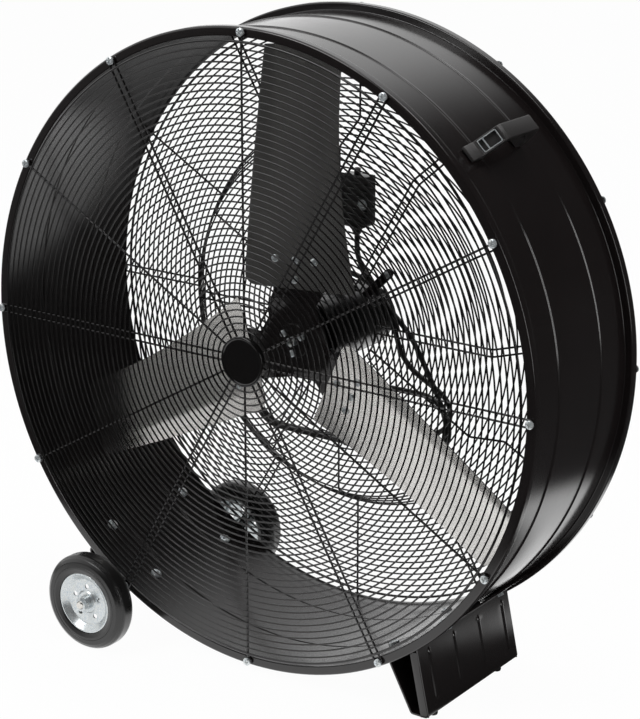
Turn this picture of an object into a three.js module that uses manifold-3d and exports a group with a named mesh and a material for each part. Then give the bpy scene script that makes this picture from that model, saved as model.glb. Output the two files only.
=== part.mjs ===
// Drum fan on two wheels and a foot. Millimetres, +Z up, the drum's axis along Y, the air blows to -Y.
// Pieces are drawn round the drum's centre, then the whole fan is stood on the ground.
import * as THREE from 'three';
import { mergeVertices } from 'three/addons/utils/BufferGeometryUtils.js';
import Module from 'manifold-3d';

const wasm = await Module();
wasm.setup();

// Clearances
const CONTACT_GAP = 0.3; // between pieces that touch
const RUNNING_GAP = 0.4; // round shafts and axles
const BLADE_SEAT_GAP = 1.0; // blades are riveted to the spider over a bumpy joint

// Drum
const DRUM_INNER_R = 461.5;
const DRUM_WALL = 2;
const DRUM_DEPTH = 284;
const DRUM_SIDES = 48;
const RIM_HEIGHT = 13.9; // rolled edge, above the drum's inside
const RIM_WIDTH = 15;
const RIDGE_OFFSET = 58.5; // each stiffening ridge from the mid-plane
const RIDGE_WIDTH = 8;
const RIDGE_HEIGHT = 3;

// Wire guards
const WIRE = 3;
const SPOKE_PITCH = 30; // degrees, single and double spokes in turn
const DOUBLE_SPOKE_SPACING = 11;
const HOOP_INSET = 5.8; // outermost ring, inside the drum's wall
const FRONT_RING_RADII = [46, 150, 250, 355];
const REAR_RING_RADII = [66, 165, 268, 305, 380];
const GUARD_TAB_WIDTH = 15;
const GUARD_SCREW_OFFSET = 7.5; // circle of the twelve screws, outside the drum's inner wall
const RECESS_DEPTH = 53; // how far the rear guard steps in round the motor
const STEP_RINGS = [2, 3]; // the rear guard's rings at the foot and the top of its step
const FRONT_CENTRE_R = 12; // open middle of the front guard, behind the badge

// Screws
const SCREW_HEAD_R = 6;
const SCREW_HEAD_HEIGHT = 3.6;
const SCREW_SHANK_R = 2.5;
const SCREW_SIDES = 8;

// Badge
const BADGE_R = 37;
const BADGE_THICKNESS = 6;
const BADGE_PLATE_R = 34;
const BADGE_PLATE_THICKNESS = 3;

// Motor
const MOTOR_R = 51.5;
const MOTOR_FRONT = 9; // behind the drum's mid-plane
const MOTOR_REAR = 165;
const MOTOR_WALL = 3.5;
const MOTOR_COVER_THICKNESS = 6;
const MOTOR_SIDES = 24;
const BEARING_R = 13;
const BEARING_WIDTH = 9;
const BEARING_POCKET_WALL = 3.5;
const SHAFT_R = 5;
const SHAFT_SIDES = 16;
const ROTOR_R = 27;
const AIR_GAP = 0.8;
const CORE_LENGTH = 70;
const MOUNT_RING_WIDTH = 15;
const MOUNT_LUG_REACH = 136;
const MOUNT_LUG_WIDTH = 14;
const MOUNT_THICKNESS = 3;

// Fan
const BLADE_COUNT = 3;
const BLADE_ROOT = 80; // root edge above the axis
const BLADE_TIP_GAP = 24.5; // from the tips to the drum
const BLADE_CORNER_R = 18;
const BLADE_THICKNESS = 2;
const BLADE_SPAN_FROM = 90; // the edge lines below run from this height above the axis
const BLADE_SPAN = 360;
const FRONT_EDGE = { x: [-72.8, -35.6, -2.7], y: [-46.4, -40.9, 0] }; // at the root, at the tip, bow
const FOLD_LINE = { x: [-41.8, -23.0, 2.7], y: [-38.3, -35.7, 3.4] };
const REAR_EDGE = { x: [94.4, 81.2, -12.9], y: [-7.2, -17.9, -4.4] };
const BLADE_ROWS = [0, 0.012, 0.052, 0.18, 0.36, 0.54, 0.72, 0.88, 0.95, 0.985, 1];
const HUB_FRONT = -23.7; // front face of the spider
const HUB_THICKNESS = 3;
const HUB_WAIST_R = 56;
const HUB_SLEEVE_R = 14;
const HUB_SLEEVE_GAP = 4; // from the sleeve to the motor
const HUB_FLAT_R = 46;
const HUB_ARM_FROM_R = 74;
const ARM_LEFT = [[-36, 60], [-30, 76], [-42, 112], [-42, 136]];
const ARM_RIGHT = [[50, 134], [48, 104], [47, 78], [32, 58]];
const ARM_TIP = [4, 141];
const HUB_WASHER_R = 26;
const HUB_WASHER_THICKNESS = 3;
const HUB_BOLT_CIRCLE_R = 18.5;
const HUB_BOLT_R = 3;
const HUB_BOLT_HEAD_R = 5.8;
const HUB_BOLT_HEAD_HEIGHT = 4;
const HUB_BOLT_TAIL = 6; // shank behind the spider
const HUB_NUT_R = 8;
const HUB_NUT_HEIGHT = 7;

// Control box, on the recessed part of the rear guard
const BOX_CENTRE_X = 22;
const BOX_WIDTH = 48;
const BOX_BOTTOM = 150; // above the drum's axis
const BOX_TOP = 228;
const BOX_DEPTH = 20;
const BOX_WALL = 2;
const BOX_CORNER = 9;
const BOX_STANDOFF = 3; // behind the rear guard's wires
const BOX_LID_THICKNESS = 2.5;
const BOX_PORT_R = 5; // outlet for the motor's lead
const BOX_PORT_HEIGHT = 10;
const KNOB_R = 16;
const KNOB_HEIGHT = 14;
const KNOB_CENTRE_Z = 196;
const KNOB_SPINDLE_R = 3;
const KNOB_GRIP_WIDTH = 7;
const BOX_SCREW_X = 42.6;
const BOX_SCREW_Z = 188;
const BOX_WASHER_R = 8;
const GLAND_TOP_R = 8.5;
const GLAND_END_R = 5.2;
const GLAND_LENGTH = 12;

// Handle: outline as [along Y, radius from the drum's axis], walked front to rear and back under the grip
const HANDLE_ANGLE = 44.9; // degrees clockwise from the top
const HANDLE_WIDTH = 24;
const HANDLE_REST = 1.8; // handle's feet above the shell
const HANDLE_OUTER = [[-88, 0], [-87, 4], [-80, 7], [-70, 9], [-44, 38], [-38, 40], [38, 40], [44, 34], [44, 0]];
const HANDLE_INNER = [[24, 0], [21, 22], [12, 31], [-38, 31], [-60, 6], [-60, 0]];
const HANDLE_RECESS_FROM = -67;
const HANDLE_RECESS_TO = -47;
const HANDLE_RECESS_WIDTH = 20;
const HANDLE_RECESS_DEPTH = 3.5;

// Foot: a folded channel under the drum's right side
const FOOT_LEFT_TOP_ANGLE = 149.3;
const FOOT_RIGHT_TOP_ANGLE = 142.6;
const FOOT_LEFT_SPREAD = 41.2; // each wall's foot, to the right of its top
const FOOT_RIGHT_SPREAD = 22.9;
const FOOT_FLANGE_ANGLE = 6;
const FOOT_SHEET = 2.5;
const FOOT_REAR_INSET = 7; // from the rear rim
const FOOT_LIP_WIDTH = 12; // folded edges of the right wall
const FOOT_LIP_NOTCH = 12; // from the wall's top to the lips
const FOOT_PAD_R = 7;
const FOOT_PAD_HEIGHT = 5.7;
const FOOT_PAD_INSET = 9; // from the right bend
const FOOT_PAD_PLACES = [28.7, 43]; // front pad from the foot's front, rear pad from its rear

// Wheels and axle
const WHEEL_R = 75;
const WHEEL_WIDTH = 36;
const FRONT_WHEEL_OFFSET = 66; // middle of the wheel, in front of the drum
const REAR_WHEEL_OFFSET = 26;
const RIM_R = 48;
const RIM_SHEET = 2;
const WHEEL_SIDES = 24;
const RIM_SIDES = 16;
const RIM_EDGE_INSET = 2.5; // inside the tyre's sides
const RIM_CONE_R = 44;
const RIM_DISH_R = 36;
const RIM_DISH_DEPTH = 8;
const RIM_HOLE_COUNT = 5;
const RIM_HOLE_R = 4;
const RIM_HOLE_CIRCLE_R = 25;
const WHEEL_HUB_R = 11;
const AXLE_R = 6;
const AXLE_SIDES = 24;
const AXLE_ANGLE = 211.38; // clockwise from the top, seen from the front
const AXLE_DROP = 7.2; // axle's centre outside the rims
const HUB_NUT_ACROSS_CORNERS_R = 10.5;
const HUB_NUT_THICKNESS = 6;
const AXLE_END_REACH = 2; // past the nuts
const BRACKET_END_GAP = 1; // to the rims
const BRACKET_SHEET = 3;
const BRACKET_COVER = 6.4; // from the axle to the inside of the channel
const BRACKET_SIDE_COVER = 3.9; // from the axle to the nearer wall
const BRACKET_WALL_SPAN = 10.4; // degrees between the walls
const BRACKET_FLANGE_ANGLE = 3.6;
const AXLE_PLATE_THICKNESS = 4;
const AXLE_PLATE_INSET = 4;
const AXLE_PLATE_LIFT = 3.6; // from the shell
const AXLE_PLATE_PLAY = 0.12; // degrees to each wall

// Mains lead
const CORD_D = 8;
const CORD_SIDES = 8;
const LAYER_PITCH = 9.2; // turns of the hank lie behind each other
const HANK_GAP = 1.7; // from the recessed wires to the first layer
const HANK_CENTRE = [10, -142];
const HANK_HALF_RUN = 128;
const HANK_END_R = 50;
const HANK_TURNS = 1.5;
const HANK_STEPS_PER_TURN = 24;
const HANK_SIDES = 6;
const HANK_CLIMB = [0.62, 0.88]; // turns between which the cord moves back a layer
const TIE_THICKNESS = 1.2;
const TIE_WIDTH = 6;
const PLUG_LENGTH = 44;
const PLUG_R = 12;
const PLUG_PIN_R = 2.4;
const PLUG_PIN_LENGTH = 19;
const PLUG_PIN_SPACING = 19;
const PLUG_LIFT = 6; // behind the tail's layer
const PLUG_MOUTH = [118, -156]; // x and z of its cord end

const radians = THREE.MathUtils.degToRad;
const lerp = THREE.MathUtils.lerp;
const smoothstep = THREE.MathUtils.smoothstep;

// Levels that several pieces share
const halfDepth = DRUM_DEPTH / 2;
const drumOuterR = DRUM_INNER_R + DRUM_WALL;
const rimOuterR = DRUM_INNER_R + RIM_HEIGHT;
const hoopRingR = DRUM_INNER_R - HOOP_INSET;
const guardScrewR = DRUM_INNER_R + GUARD_SCREW_OFFSET;
const bladeTipR = DRUM_INNER_R - BLADE_TIP_GAP;
const ridgeTopR = drumOuterR + RIDGE_HEIGHT;
const shellClearR = ridgeTopR + CONTACT_GAP + 1; // what bridges the ridges sits on this radius
const frontGuardFront = -halfDepth - CONTACT_GAP - WIRE;
const rearGuardFront = halfDepth + CONTACT_GAP;
const recessFront = rearGuardFront - RECESS_DEPTH;
const recessRear = recessFront + WIRE;
const boxFront = recessRear + BOX_STANDOFF;
const boxRear = boxFront + BOX_DEPTH;
const lidRear = boxRear + CONTACT_GAP + BOX_LID_THICKNESS;
const rimInner = halfDepth - RIM_WIDTH;
const hankY = recessRear + CORD_D / 2 + HANK_GAP;
const frontWheelY = -halfDepth - FRONT_WHEEL_OFFSET;
const rearWheelY = halfDepth + REAR_WHEEL_OFFSET;
const axleCircleR = rimOuterR + AXLE_DROP;
const [axleX, axleZ] = polar(AXLE_ANGLE, axleCircleR);
const groundZ = axleZ - WHEEL_R;

// Round solids -------------------------------------------------------------------------------------

// Solid of revolution about Y from [radius, y] points, walked so that the outer wall runs towards +Y.
function turned(profile, sides) {
  const loop = profile[0][0] > 0 ? [...profile, profile[0]] : profile;
  return new THREE.LatheGeometry(loop.map(([r, y]) => new THREE.Vector2(r, y)), sides);
}

function ring(innerR, outerR, front, rear, sides) {
  return turned([[innerR, front], [outerR, front], [outerR, rear], [innerR, rear]], sides);
}

function disc(radius, front, rear, sides) {
  return turned([[0, front], [radius, front], [radius, rear], [0, rear]], sides);
}

// Corner radius of a faceted bore whose flats clear a shaft.
function boreR(shaftR, gap, sides) {
  return (shaftR + gap) / Math.cos(Math.PI / sides);
}

// Flat solids --------------------------------------------------------------------------------------

// Shapes run anticlockwise, whichever way their points are listed.
function outline(points) {
  const corners = points.map(([x, z]) => new THREE.Vector2(x, z));
  return new THREE.Shape(THREE.ShapeUtils.isClockWise(corners) ? corners.reverse() : corners);
}

// Plate lying in the X-Z plane between two Y levels.
function plate(shape, front, rear) {
  const solid = new THREE.ExtrudeGeometry(shape, { depth: rear - front, bevelEnabled: false });
  return solid.rotateX(Math.PI / 2).translate(0, rear, 0);
}

// Point at an angle clockwise from the top, seen from the front.
function polar(angle, r) {
  return [r * Math.sin(radians(angle)), r * Math.cos(radians(angle))];
}

function arc(r, from, to, steps) {
  return Array.from({ length: steps + 1 }, (_, i) => polar(lerp(from, to, i / steps), r));
}

function circle(x, z, r, sides) {
  return Array.from({ length: sides }, (_, i) => {
    const [dx, dz] = polar((360 * i) / sides, r);
    return [x + dx, z + dz];
  });
}

function addHole(shape, points) {
  shape.holes.push(new THREE.Path(points.map(([x, z]) => new THREE.Vector2(x, z))));
}

// Joining and cutting ------------------------------------------------------------------------------

function toSolid(geometry) {
  const plain = geometry.clone();
  plain.deleteAttribute('normal');
  plain.deleteAttribute('uv');
  const merged = mergeVertices(plain, 1e-4);
  const mesh = new wasm.Mesh({
    numProp: 3,
    vertProperties: new Float32Array(merged.attributes.position.array),
    triVerts: new Uint32Array(merged.index.array),
  });
  return new wasm.Manifold(mesh);
}

function fromSolid(solid) {
  const mesh = solid.getMesh();
  const geometry = new THREE.BufferGeometry();
  geometry.setAttribute('position', new THREE.BufferAttribute(new Float32Array(mesh.vertProperties), 3));
  geometry.setIndex(new THREE.BufferAttribute(new Uint32Array(mesh.triVerts), 1));
  return geometry;
}

function joined(...geometries) {
  return fromSolid(geometries.map(toSolid).reduce((whole, part) => whole.add(part)));
}

function cut(geometry, ...tools) {
  return fromSolid(tools.map(toSolid).reduce((rest, tool) => rest.subtract(tool), toSolid(geometry)));
}

// Finishes -----------------------------------------------------------------------------------------

function finish(color, roughness, metalness) {
  return () => new THREE.MeshStandardMaterial({ color, roughness, metalness });
}

const blackPaint = finish(0x1c1a1a, 0.42, 0.0);
const blackWire = finish(0x121111, 0.35, 0.0);
const bladeMetal = finish(0xb9b7b4, 0.35, 0.9);
const zincMetal = finish(0xa9a8a4, 0.4, 0.9);
const blackPlastic = finish(0x1d1c1c, 0.5, 0.0);
const blackRubber = finish(0x151414, 0.75, 0.0);
const coreSteel = finish(0x6d6b69, 0.5, 0.8);

function piece(name, geometry, material) {
  const mesh = new THREE.Mesh(geometry, material());
  mesh.name = name;
  return mesh;
}

// Drum ---------------------------------------------------------------------------------------------

function drumShell() {
  const ridge = (centre) => [
    [drumOuterR, centre - RIDGE_WIDTH / 2],
    [ridgeTopR, centre],
    [drumOuterR, centre + RIDGE_WIDTH / 2],
  ];
  return turned([
    [DRUM_INNER_R, -halfDepth],
    [rimOuterR, -halfDepth],
    [rimOuterR, RIM_WIDTH - halfDepth],
    [drumOuterR, RIM_WIDTH - halfDepth],
    ...ridge(-RIDGE_OFFSET),
    ...ridge(RIDGE_OFFSET),
    [drumOuterR, halfDepth - RIM_WIDTH],
    [rimOuterR, halfDepth - RIM_WIDTH],
    [rimOuterR, halfDepth],
    [DRUM_INNER_R, halfDepth],
  ], DRUM_SIDES);
}

// Guards -------------------------------------------------------------------------------------------

// Angles of the wires' sides, and of a point between wires, in one pitch pair at radius r.
function netStations(r, hoopR) {
  const degrees = (offset) => THREE.MathUtils.radToDeg(Math.asin(offset / r));
  const single = degrees(r > hoopR ? GUARD_TAB_WIDTH / 2 : WIRE / 2);
  const double = degrees((DOUBLE_SPOKE_SPACING + WIRE) / 2);
  const slot = degrees((DOUBLE_SPOKE_SPACING - WIRE) / 2);
  return [
    -single,
    single,
    SPOKE_PITCH / 2,
    SPOKE_PITCH - double,
    SPOKE_PITCH - slot,
    SPOKE_PITCH + slot,
    SPOKE_PITCH + double,
    1.5 * SPOKE_PITCH,
  ];
}

// Welded net of rings and spokes, one wire thick, with a tab at each screw. Its front face is at
// front, less what drop gives at each radius.
function net(ringRadii, centreR, front, drop) {
  const hoopR = ringRadii.at(-1) + WIRE / 2;
  const wireStations = [0, 3, 5]; // a wire lies between this station and the next
  const slotStation = 4;
  const levels = ringRadii.flatMap((r) => [r - WIRE / 2, r + WIRE / 2]);
  levels[0] = centreR;
  levels.push(hoopR + WIRE, rimOuterR - 1);
  const grid = levels.map((r) => {
    const points = [];
    for (let angle = 0; angle < 360; angle += 2 * SPOKE_PITCH) {
      for (const station of netStations(r, hoopR)) {
        const [x, z] = polar(angle + station, r);
        points.push(new THREE.Vector3(x, front - drop(r), z));
      }
    }
    return points;
  });
  const isWire = (row, column) => {
    const station = column % 8;
    const isTab = row >= levels.length - 3;
    return row % 2 === 0 && !isTab ? true : wireStations.includes(station) || (isTab && station === slotStation);
  };
  return sheet(grid, WIRE, true, isWire);
}

function frontGuard() {
  const solid = net([...FRONT_RING_RADII, hoopRingR], FRONT_CENTRE_R, frontGuardFront, () => 0);
  const rear = frontGuardFront + WIRE;
  const holes = Array.from({ length: 360 / SPOKE_PITCH }, (_, i) => {
    const [x, z] = polar(SPOKE_PITCH * i, guardScrewR);
    return disc(SCREW_SHANK_R + CONTACT_GAP, frontGuardFront - 1, rear + 1, SCREW_SIDES).translate(x, 0, z);
  });
  return cut(solid, ...holes);
}

// The rear guard is a flat net outside and steps in towards the fan round the motor.
function rearGuard() {
  const [footRing, topRing] = STEP_RINGS;
  const stepInner = REAR_RING_RADII[footRing] + WIRE / 2;
  const stepOuter = REAR_RING_RADII[topRing] - WIRE / 2;
  const drop = (r) => RECESS_DEPTH * THREE.MathUtils.clamp((stepOuter - r) / (stepOuter - stepInner), 0, 1);
  return net([...REAR_RING_RADII, hoopRingR], REAR_RING_RADII[0] - WIRE / 2, rearGuardFront, drop);
}

function guardScrews() {
  const shankRear = frontGuardFront + WIRE;
  const headRear = frontGuardFront - CONTACT_GAP;
  return Array.from({ length: 360 / SPOKE_PITCH }, (_, i) => {
    const screw = piece(`guard_screw_${i + 1}`, turned([
      [0, headRear - SCREW_HEAD_HEIGHT],
      [SCREW_HEAD_R, headRear - SCREW_HEAD_HEIGHT / 2],
      [SCREW_HEAD_R, headRear],
      [SCREW_SHANK_R, headRear],
      [SCREW_SHANK_R, shankRear],
      [0, shankRear],
    ], SCREW_SIDES), zincMetal);
    const [x, z] = polar(SPOKE_PITCH * i, guardScrewR);
    screw.position.set(x, 0, z);
    return screw;
  });
}

function badge() {
  const rear = frontGuardFront - CONTACT_GAP;
  const front = rear - BADGE_THICKNESS;
  const plateFront = frontGuardFront + WIRE + CONTACT_GAP;
  return [
    piece('centre_badge', turned([
      [0, front + 1],
      [BADGE_R - 3, front + 1],
      [BADGE_R - 2.5, front],
      [BADGE_R - 0.8, front],
      [BADGE_R, front + 1.5],
      [BADGE_R, rear],
      [0, rear],
    ], MOTOR_SIDES), blackPlastic),
    piece('badge_plate', disc(BADGE_PLATE_R, plateFront, plateFront + BADGE_PLATE_THICKNESS, MOTOR_SIDES),
      blackPaint),
  ];
}

// Motor --------------------------------------------------------------------------------------------

// End cover with its bearing pocket; side is 1 for the front cover, whose pocket opens to the rear.
function motorCover(face, side) {
  const inside = face + side * MOTOR_COVER_THICKNESS;
  const pocketR = BEARING_R + CONTACT_GAP;
  const pocketEnd = inside + side * (BEARING_WIDTH + 2 * CONTACT_GAP);
  const profile = [
    [boreR(SHAFT_R, RUNNING_GAP, SHAFT_SIDES), face],
    [MOTOR_R, face],
    [MOTOR_R, inside],
    [pocketR + BEARING_POCKET_WALL, inside],
    [pocketR + BEARING_POCKET_WALL, pocketEnd],
    [pocketR, pocketEnd],
    [pocketR, inside],
    [boreR(SHAFT_R, RUNNING_GAP, SHAFT_SIDES), inside],
  ];
  return turned(side > 0 ? profile : profile.reverse(), MOTOR_SIDES);
}

function bearing(front) {
  return ring(boreR(SHAFT_R, CONTACT_GAP, MOTOR_SIDES), BEARING_R, front, front + BEARING_WIDTH, MOTOR_SIDES);
}

function motorMount() {
  const innerR = boreR(MOTOR_R, CONTACT_GAP, MOTOR_SIDES);
  const outerR = innerR + MOUNT_RING_WIDTH;
  const lugHalf = THREE.MathUtils.radToDeg(MOUNT_LUG_WIDTH / 2 / outerR);
  const tipHalf = THREE.MathUtils.radToDeg(MOUNT_LUG_WIDTH / 2 / MOUNT_LUG_REACH);
  const points = [];
  for (let angle = 45; angle < 405; angle += 90) {
    points.push(polar(angle - lugHalf, outerR), polar(angle - tipHalf, MOUNT_LUG_REACH));
    points.push(polar(angle + tipHalf, MOUNT_LUG_REACH), ...arc(outerR, angle + lugHalf, angle + 90 - lugHalf, 6)
      .slice(0, -1));
  }
  const shape = outline(points);
  addHole(shape, circle(0, 0, innerR, MOTOR_SIDES));
  const rear = recessFront - CONTACT_GAP;
  return plate(shape, rear - MOUNT_THICKNESS, rear);
}

function motor() {
  const coverFront = MOTOR_FRONT + MOTOR_COVER_THICKNESS;
  const coverRear = MOTOR_REAR - MOTOR_COVER_THICKNESS;
  const innerR = MOTOR_R - MOTOR_WALL;
  const coreFront = (MOTOR_FRONT + MOTOR_REAR - CORE_LENGTH) / 2;
  const coreRear = coreFront + CORE_LENGTH;
  return [
    piece('motor_casing', ring(innerR, MOTOR_R, coverFront + CONTACT_GAP, coverRear - CONTACT_GAP, MOTOR_SIDES),
      blackPaint),
    piece('motor_front_cover', motorCover(MOTOR_FRONT, 1), blackPaint),
    piece('motor_rear_cover', motorCover(MOTOR_REAR, -1), blackPaint),
    piece('stator_core', ring(ROTOR_R + AIR_GAP, innerR * Math.cos(Math.PI / MOTOR_SIDES) - CONTACT_GAP,
      coreFront, coreRear, MOTOR_SIDES), coreSteel),
    piece('front_bearing', bearing(coverFront + CONTACT_GAP), coreSteel),
    piece('rear_bearing', bearing(coverRear - CONTACT_GAP - BEARING_WIDTH), coreSteel),
    piece('motor_mount', motorMount(), blackPaint),
  ];
}

function rotor() {
  const coreFront = (MOTOR_FRONT + MOTOR_REAR - CORE_LENGTH) / 2;
  const shaftFront = HUB_FRONT - HUB_WASHER_THICKNESS - CONTACT_GAP - HUB_NUT_HEIGHT / 2;
  return [
    piece('rotor_core', ring(boreR(SHAFT_R, CONTACT_GAP, MOTOR_SIDES), ROTOR_R - AIR_GAP, coreFront,
      coreFront + CORE_LENGTH, MOTOR_SIDES), coreSteel),
    piece('motor_shaft', disc(SHAFT_R, shaftFront, MOTOR_REAR - MOTOR_COVER_THICKNESS, SHAFT_SIDES), zincMetal),
  ];
}

// Fan ----------------------------------------------------------------------------------------------

// An edge or fold line of the blade: its value at a height above the axis.
function along([root, tip, bow], z) {
  const t = (z - BLADE_SPAN_FROM) / BLADE_SPAN;
  return lerp(root, tip, t) + bow * 4 * t * (1 - t);
}

// Front surface of the blade that stands upright, at x across and z above the axis.
function bladeY(x, z) {
  const [fromX, foldX, toX] = [FRONT_EDGE, FOLD_LINE, REAR_EDGE].map((line) => along(line.x, z));
  const [fromY, foldY, toY] = [FRONT_EDGE, FOLD_LINE, REAR_EDGE].map((line) => along(line.y, z));
  return x < foldX
    ? lerp(fromY, foldY, (x - fromX) / (foldX - fromX))
    : lerp(foldY, toY, (x - foldX) / (toX - foldX));
}

// How far a rounded corner draws the edge in, at a distance from the end of the blade.
function cornerInset(distance) {
  const rest = Math.max(0, BLADE_CORNER_R - distance);
  return BLADE_CORNER_R - Math.sqrt(BLADE_CORNER_R ** 2 - rest ** 2);
}

function bladeRow(share) {
  const height = (x) => lerp(BLADE_ROOT, Math.sqrt(bladeTipR ** 2 - x ** 2), share);
  const middle = height(0);
  const left = along(FRONT_EDGE.x, middle) + cornerInset(height(0) - BLADE_ROOT);
  const fold = along(FOLD_LINE.x, middle);
  const right = along(REAR_EDGE.x, middle) - cornerInset(bladeTipR - height(0));
  const across = [left, (left + fold) / 2, fold];
  for (let i = 1; i <= 3; i += 1) across.push(lerp(fold, right, i / 3));
  return across.map((x) => new THREE.Vector3(x, bladeY(x, height(x)), height(x)));
}

// Closed sheet from rows of points on its front face, thickened towards +Y. Cells that isSolid
// leaves out are open.
function sheet(rows, thickness, closedRound, isSolid = () => true) {
  const columns = rows[0].length;
  const lastColumn = closedRound ? columns : columns - 1;
  const count = rows.length * columns;
  const points = rows.flat();
  const corners = points.flatMap(({ x, y, z }) => [x, y, z]);
  const backs = points.flatMap(({ x, y, z }) => [x, y + thickness, z]);
  const index = [];
  const quad = (a, b, c, d) => index.push(a, b, c, a, c, d);
  const at = (row, column) => row * columns + ((column + columns) % columns);
  const filled = (row, column) => row >= 0 && row < rows.length - 1
    && (closedRound || (column >= 0 && column < lastColumn)) && isSolid(row, (column + columns) % columns);
  for (let row = 0; row < rows.length - 1; row += 1) {
    for (let column = 0; column < lastColumn; column += 1) {
      if (!filled(row, column)) continue;
      const ring = [at(row, column), at(row, column + 1), at(row + 1, column + 1), at(row + 1, column)];
      const beyond = [[row - 1, column], [row, column + 1], [row + 1, column], [row, column - 1]];
      quad(...ring);
      quad(...ring.map((corner) => corner + count).reverse());
      beyond.forEach(([nextRow, nextColumn], side) => {
        const [from, to] = [ring[side], ring[(side + 1) % 4]];
        if (!filled(nextRow, nextColumn)) quad(to, from, from + count, to + count);
      });
    }
  }
  const geometry = new THREE.BufferGeometry();
  geometry.setAttribute('position', new THREE.Float32BufferAttribute([...corners, ...backs], 3));
  geometry.setIndex(index);
  return geometry;
}

function blades() {
  return Array.from({ length: BLADE_COUNT }, (_, i) => {
    const blade = piece(`blade_${i + 1}`, sheet(BLADE_ROWS.map(bladeRow), BLADE_THICKNESS, false), bladeMetal);
    blade.rotation.y = (2 * Math.PI * i) / BLADE_COUNT;
    return blade;
  });
}

// Height of the spider's front face, in the frame of one upright arm: flat inside, pitched under the blade.
function spiderY(x, z) {
  const seat = bladeY(x, z) + BLADE_THICKNESS + BLADE_SEAT_GAP;
  return lerp(HUB_FRONT, seat, smoothstep(Math.hypot(x, z), HUB_FLAT_R, HUB_ARM_FROM_R));
}

function spiderOutline() {
  const waist = polar(-180 / BLADE_COUNT, HUB_WAIST_R);
  return [waist, ...ARM_LEFT, ARM_TIP, ...ARM_RIGHT];
}

function hub() {
  const bore = boreR(SHAFT_R, CONTACT_GAP, SHAFT_SIDES);
  const shares = [0, 0.3, 0.55, 0.78, 1];
  const turn = (2 * Math.PI) / BLADE_COUNT;
  const rows = shares.map((share) => {
    const row = [];
    for (let arm = 0; arm < BLADE_COUNT; arm += 1) {
      for (const [x, z] of spiderOutline()) {
        const reach = Math.hypot(x, z);
        const scale = lerp((bore + HUB_SLEEVE_R) / 2, reach, share) / reach;
        const point = new THREE.Vector3(x * scale, spiderY(x * scale, z * scale), z * scale);
        row.push(point.applyAxisAngle(new THREE.Vector3(0, 1, 0), arm * turn));
      }
    }
    return row;
  });
  const sleeve = ring(bore, HUB_SLEEVE_R, HUB_FRONT, MOTOR_FRONT - HUB_SLEEVE_GAP, SHAFT_SIDES);
  const holes = boltPlaces().map(([x, z]) => disc(HUB_BOLT_R + CONTACT_GAP, HUB_FRONT - 1,
    HUB_FRONT + HUB_THICKNESS + HUB_BOLT_TAIL, SCREW_SIDES).translate(x, 0, z));
  return cut(joined(sheet(rows, HUB_THICKNESS, true), sleeve), ...holes);
}

function boltPlaces() {
  return Array.from({ length: BLADE_COUNT }, (_, i) => polar(180 + (360 * i) / BLADE_COUNT, HUB_BOLT_CIRCLE_R));
}

function hubFastenings() {
  const washerRear = HUB_FRONT - CONTACT_GAP;
  const washerFront = washerRear - HUB_WASHER_THICKNESS;
  const headRear = washerFront - CONTACT_GAP;
  const nutFront = headRear - HUB_NUT_HEIGHT;
  const shaftFront = HUB_FRONT - HUB_WASHER_THICKNESS - CONTACT_GAP - HUB_NUT_HEIGHT / 2;
  const washer = outline(circle(0, 0, HUB_WASHER_R, MOTOR_SIDES));
  addHole(washer, circle(0, 0, boreR(SHAFT_R, CONTACT_GAP, SHAFT_SIDES), SHAFT_SIDES));
  for (const [x, z] of boltPlaces()) {
    addHole(washer, circle(x, z, HUB_BOLT_R + CONTACT_GAP, SCREW_SIDES));
  }
  const nutBore = boreR(SHAFT_R, CONTACT_GAP, SHAFT_SIDES);
  const pieces = [
    piece('hub_washer', plate(washer, washerFront, washerRear), blackPaint),
    piece('hub_nut', turned([
      [0, nutFront],
      [HUB_NUT_R - 1, nutFront],
      [HUB_NUT_R, nutFront + 1],
      [HUB_NUT_R, headRear],
      [nutBore, headRear],
      [nutBore, shaftFront - CONTACT_GAP],
      [0, shaftFront - CONTACT_GAP],
    ], SHAFT_SIDES), zincMetal),
  ];
  boltPlaces().forEach(([x, z], i) => {
    const head = plate(outline(circle(0, 0, HUB_BOLT_HEAD_R, 6)), headRear - HUB_BOLT_HEAD_HEIGHT, headRear);
    const shank = disc(HUB_BOLT_R, headRear - 1, HUB_FRONT + HUB_THICKNESS + HUB_BOLT_TAIL - 1, SCREW_SIDES);
    const bolt = piece(`hub_bolt_${i + 1}`, joined(head, shank), zincMetal);
    bolt.position.set(x, 0, z);
    pieces.push(bolt);
  });
  return pieces;
}

// Control box --------------------------------------------------------------------------------------

function boxOutline(inset) {
  const left = BOX_CENTRE_X - BOX_WIDTH / 2 + inset;
  const right = BOX_CENTRE_X + BOX_WIDTH / 2 - inset;
  const [low, high] = [BOX_BOTTOM + inset, BOX_TOP - inset];
  const corner = BOX_CORNER - inset;
  const bend = corner * (1 - Math.SQRT1_2);
  return outline([
    [left, high],
    [left, low + corner],
    [left + bend, low + bend],
    [left + corner, low],
    [right - corner, low],
    [right - bend, low + bend],
    [right, low + corner],
    [right, high],
  ]);
}

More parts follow.
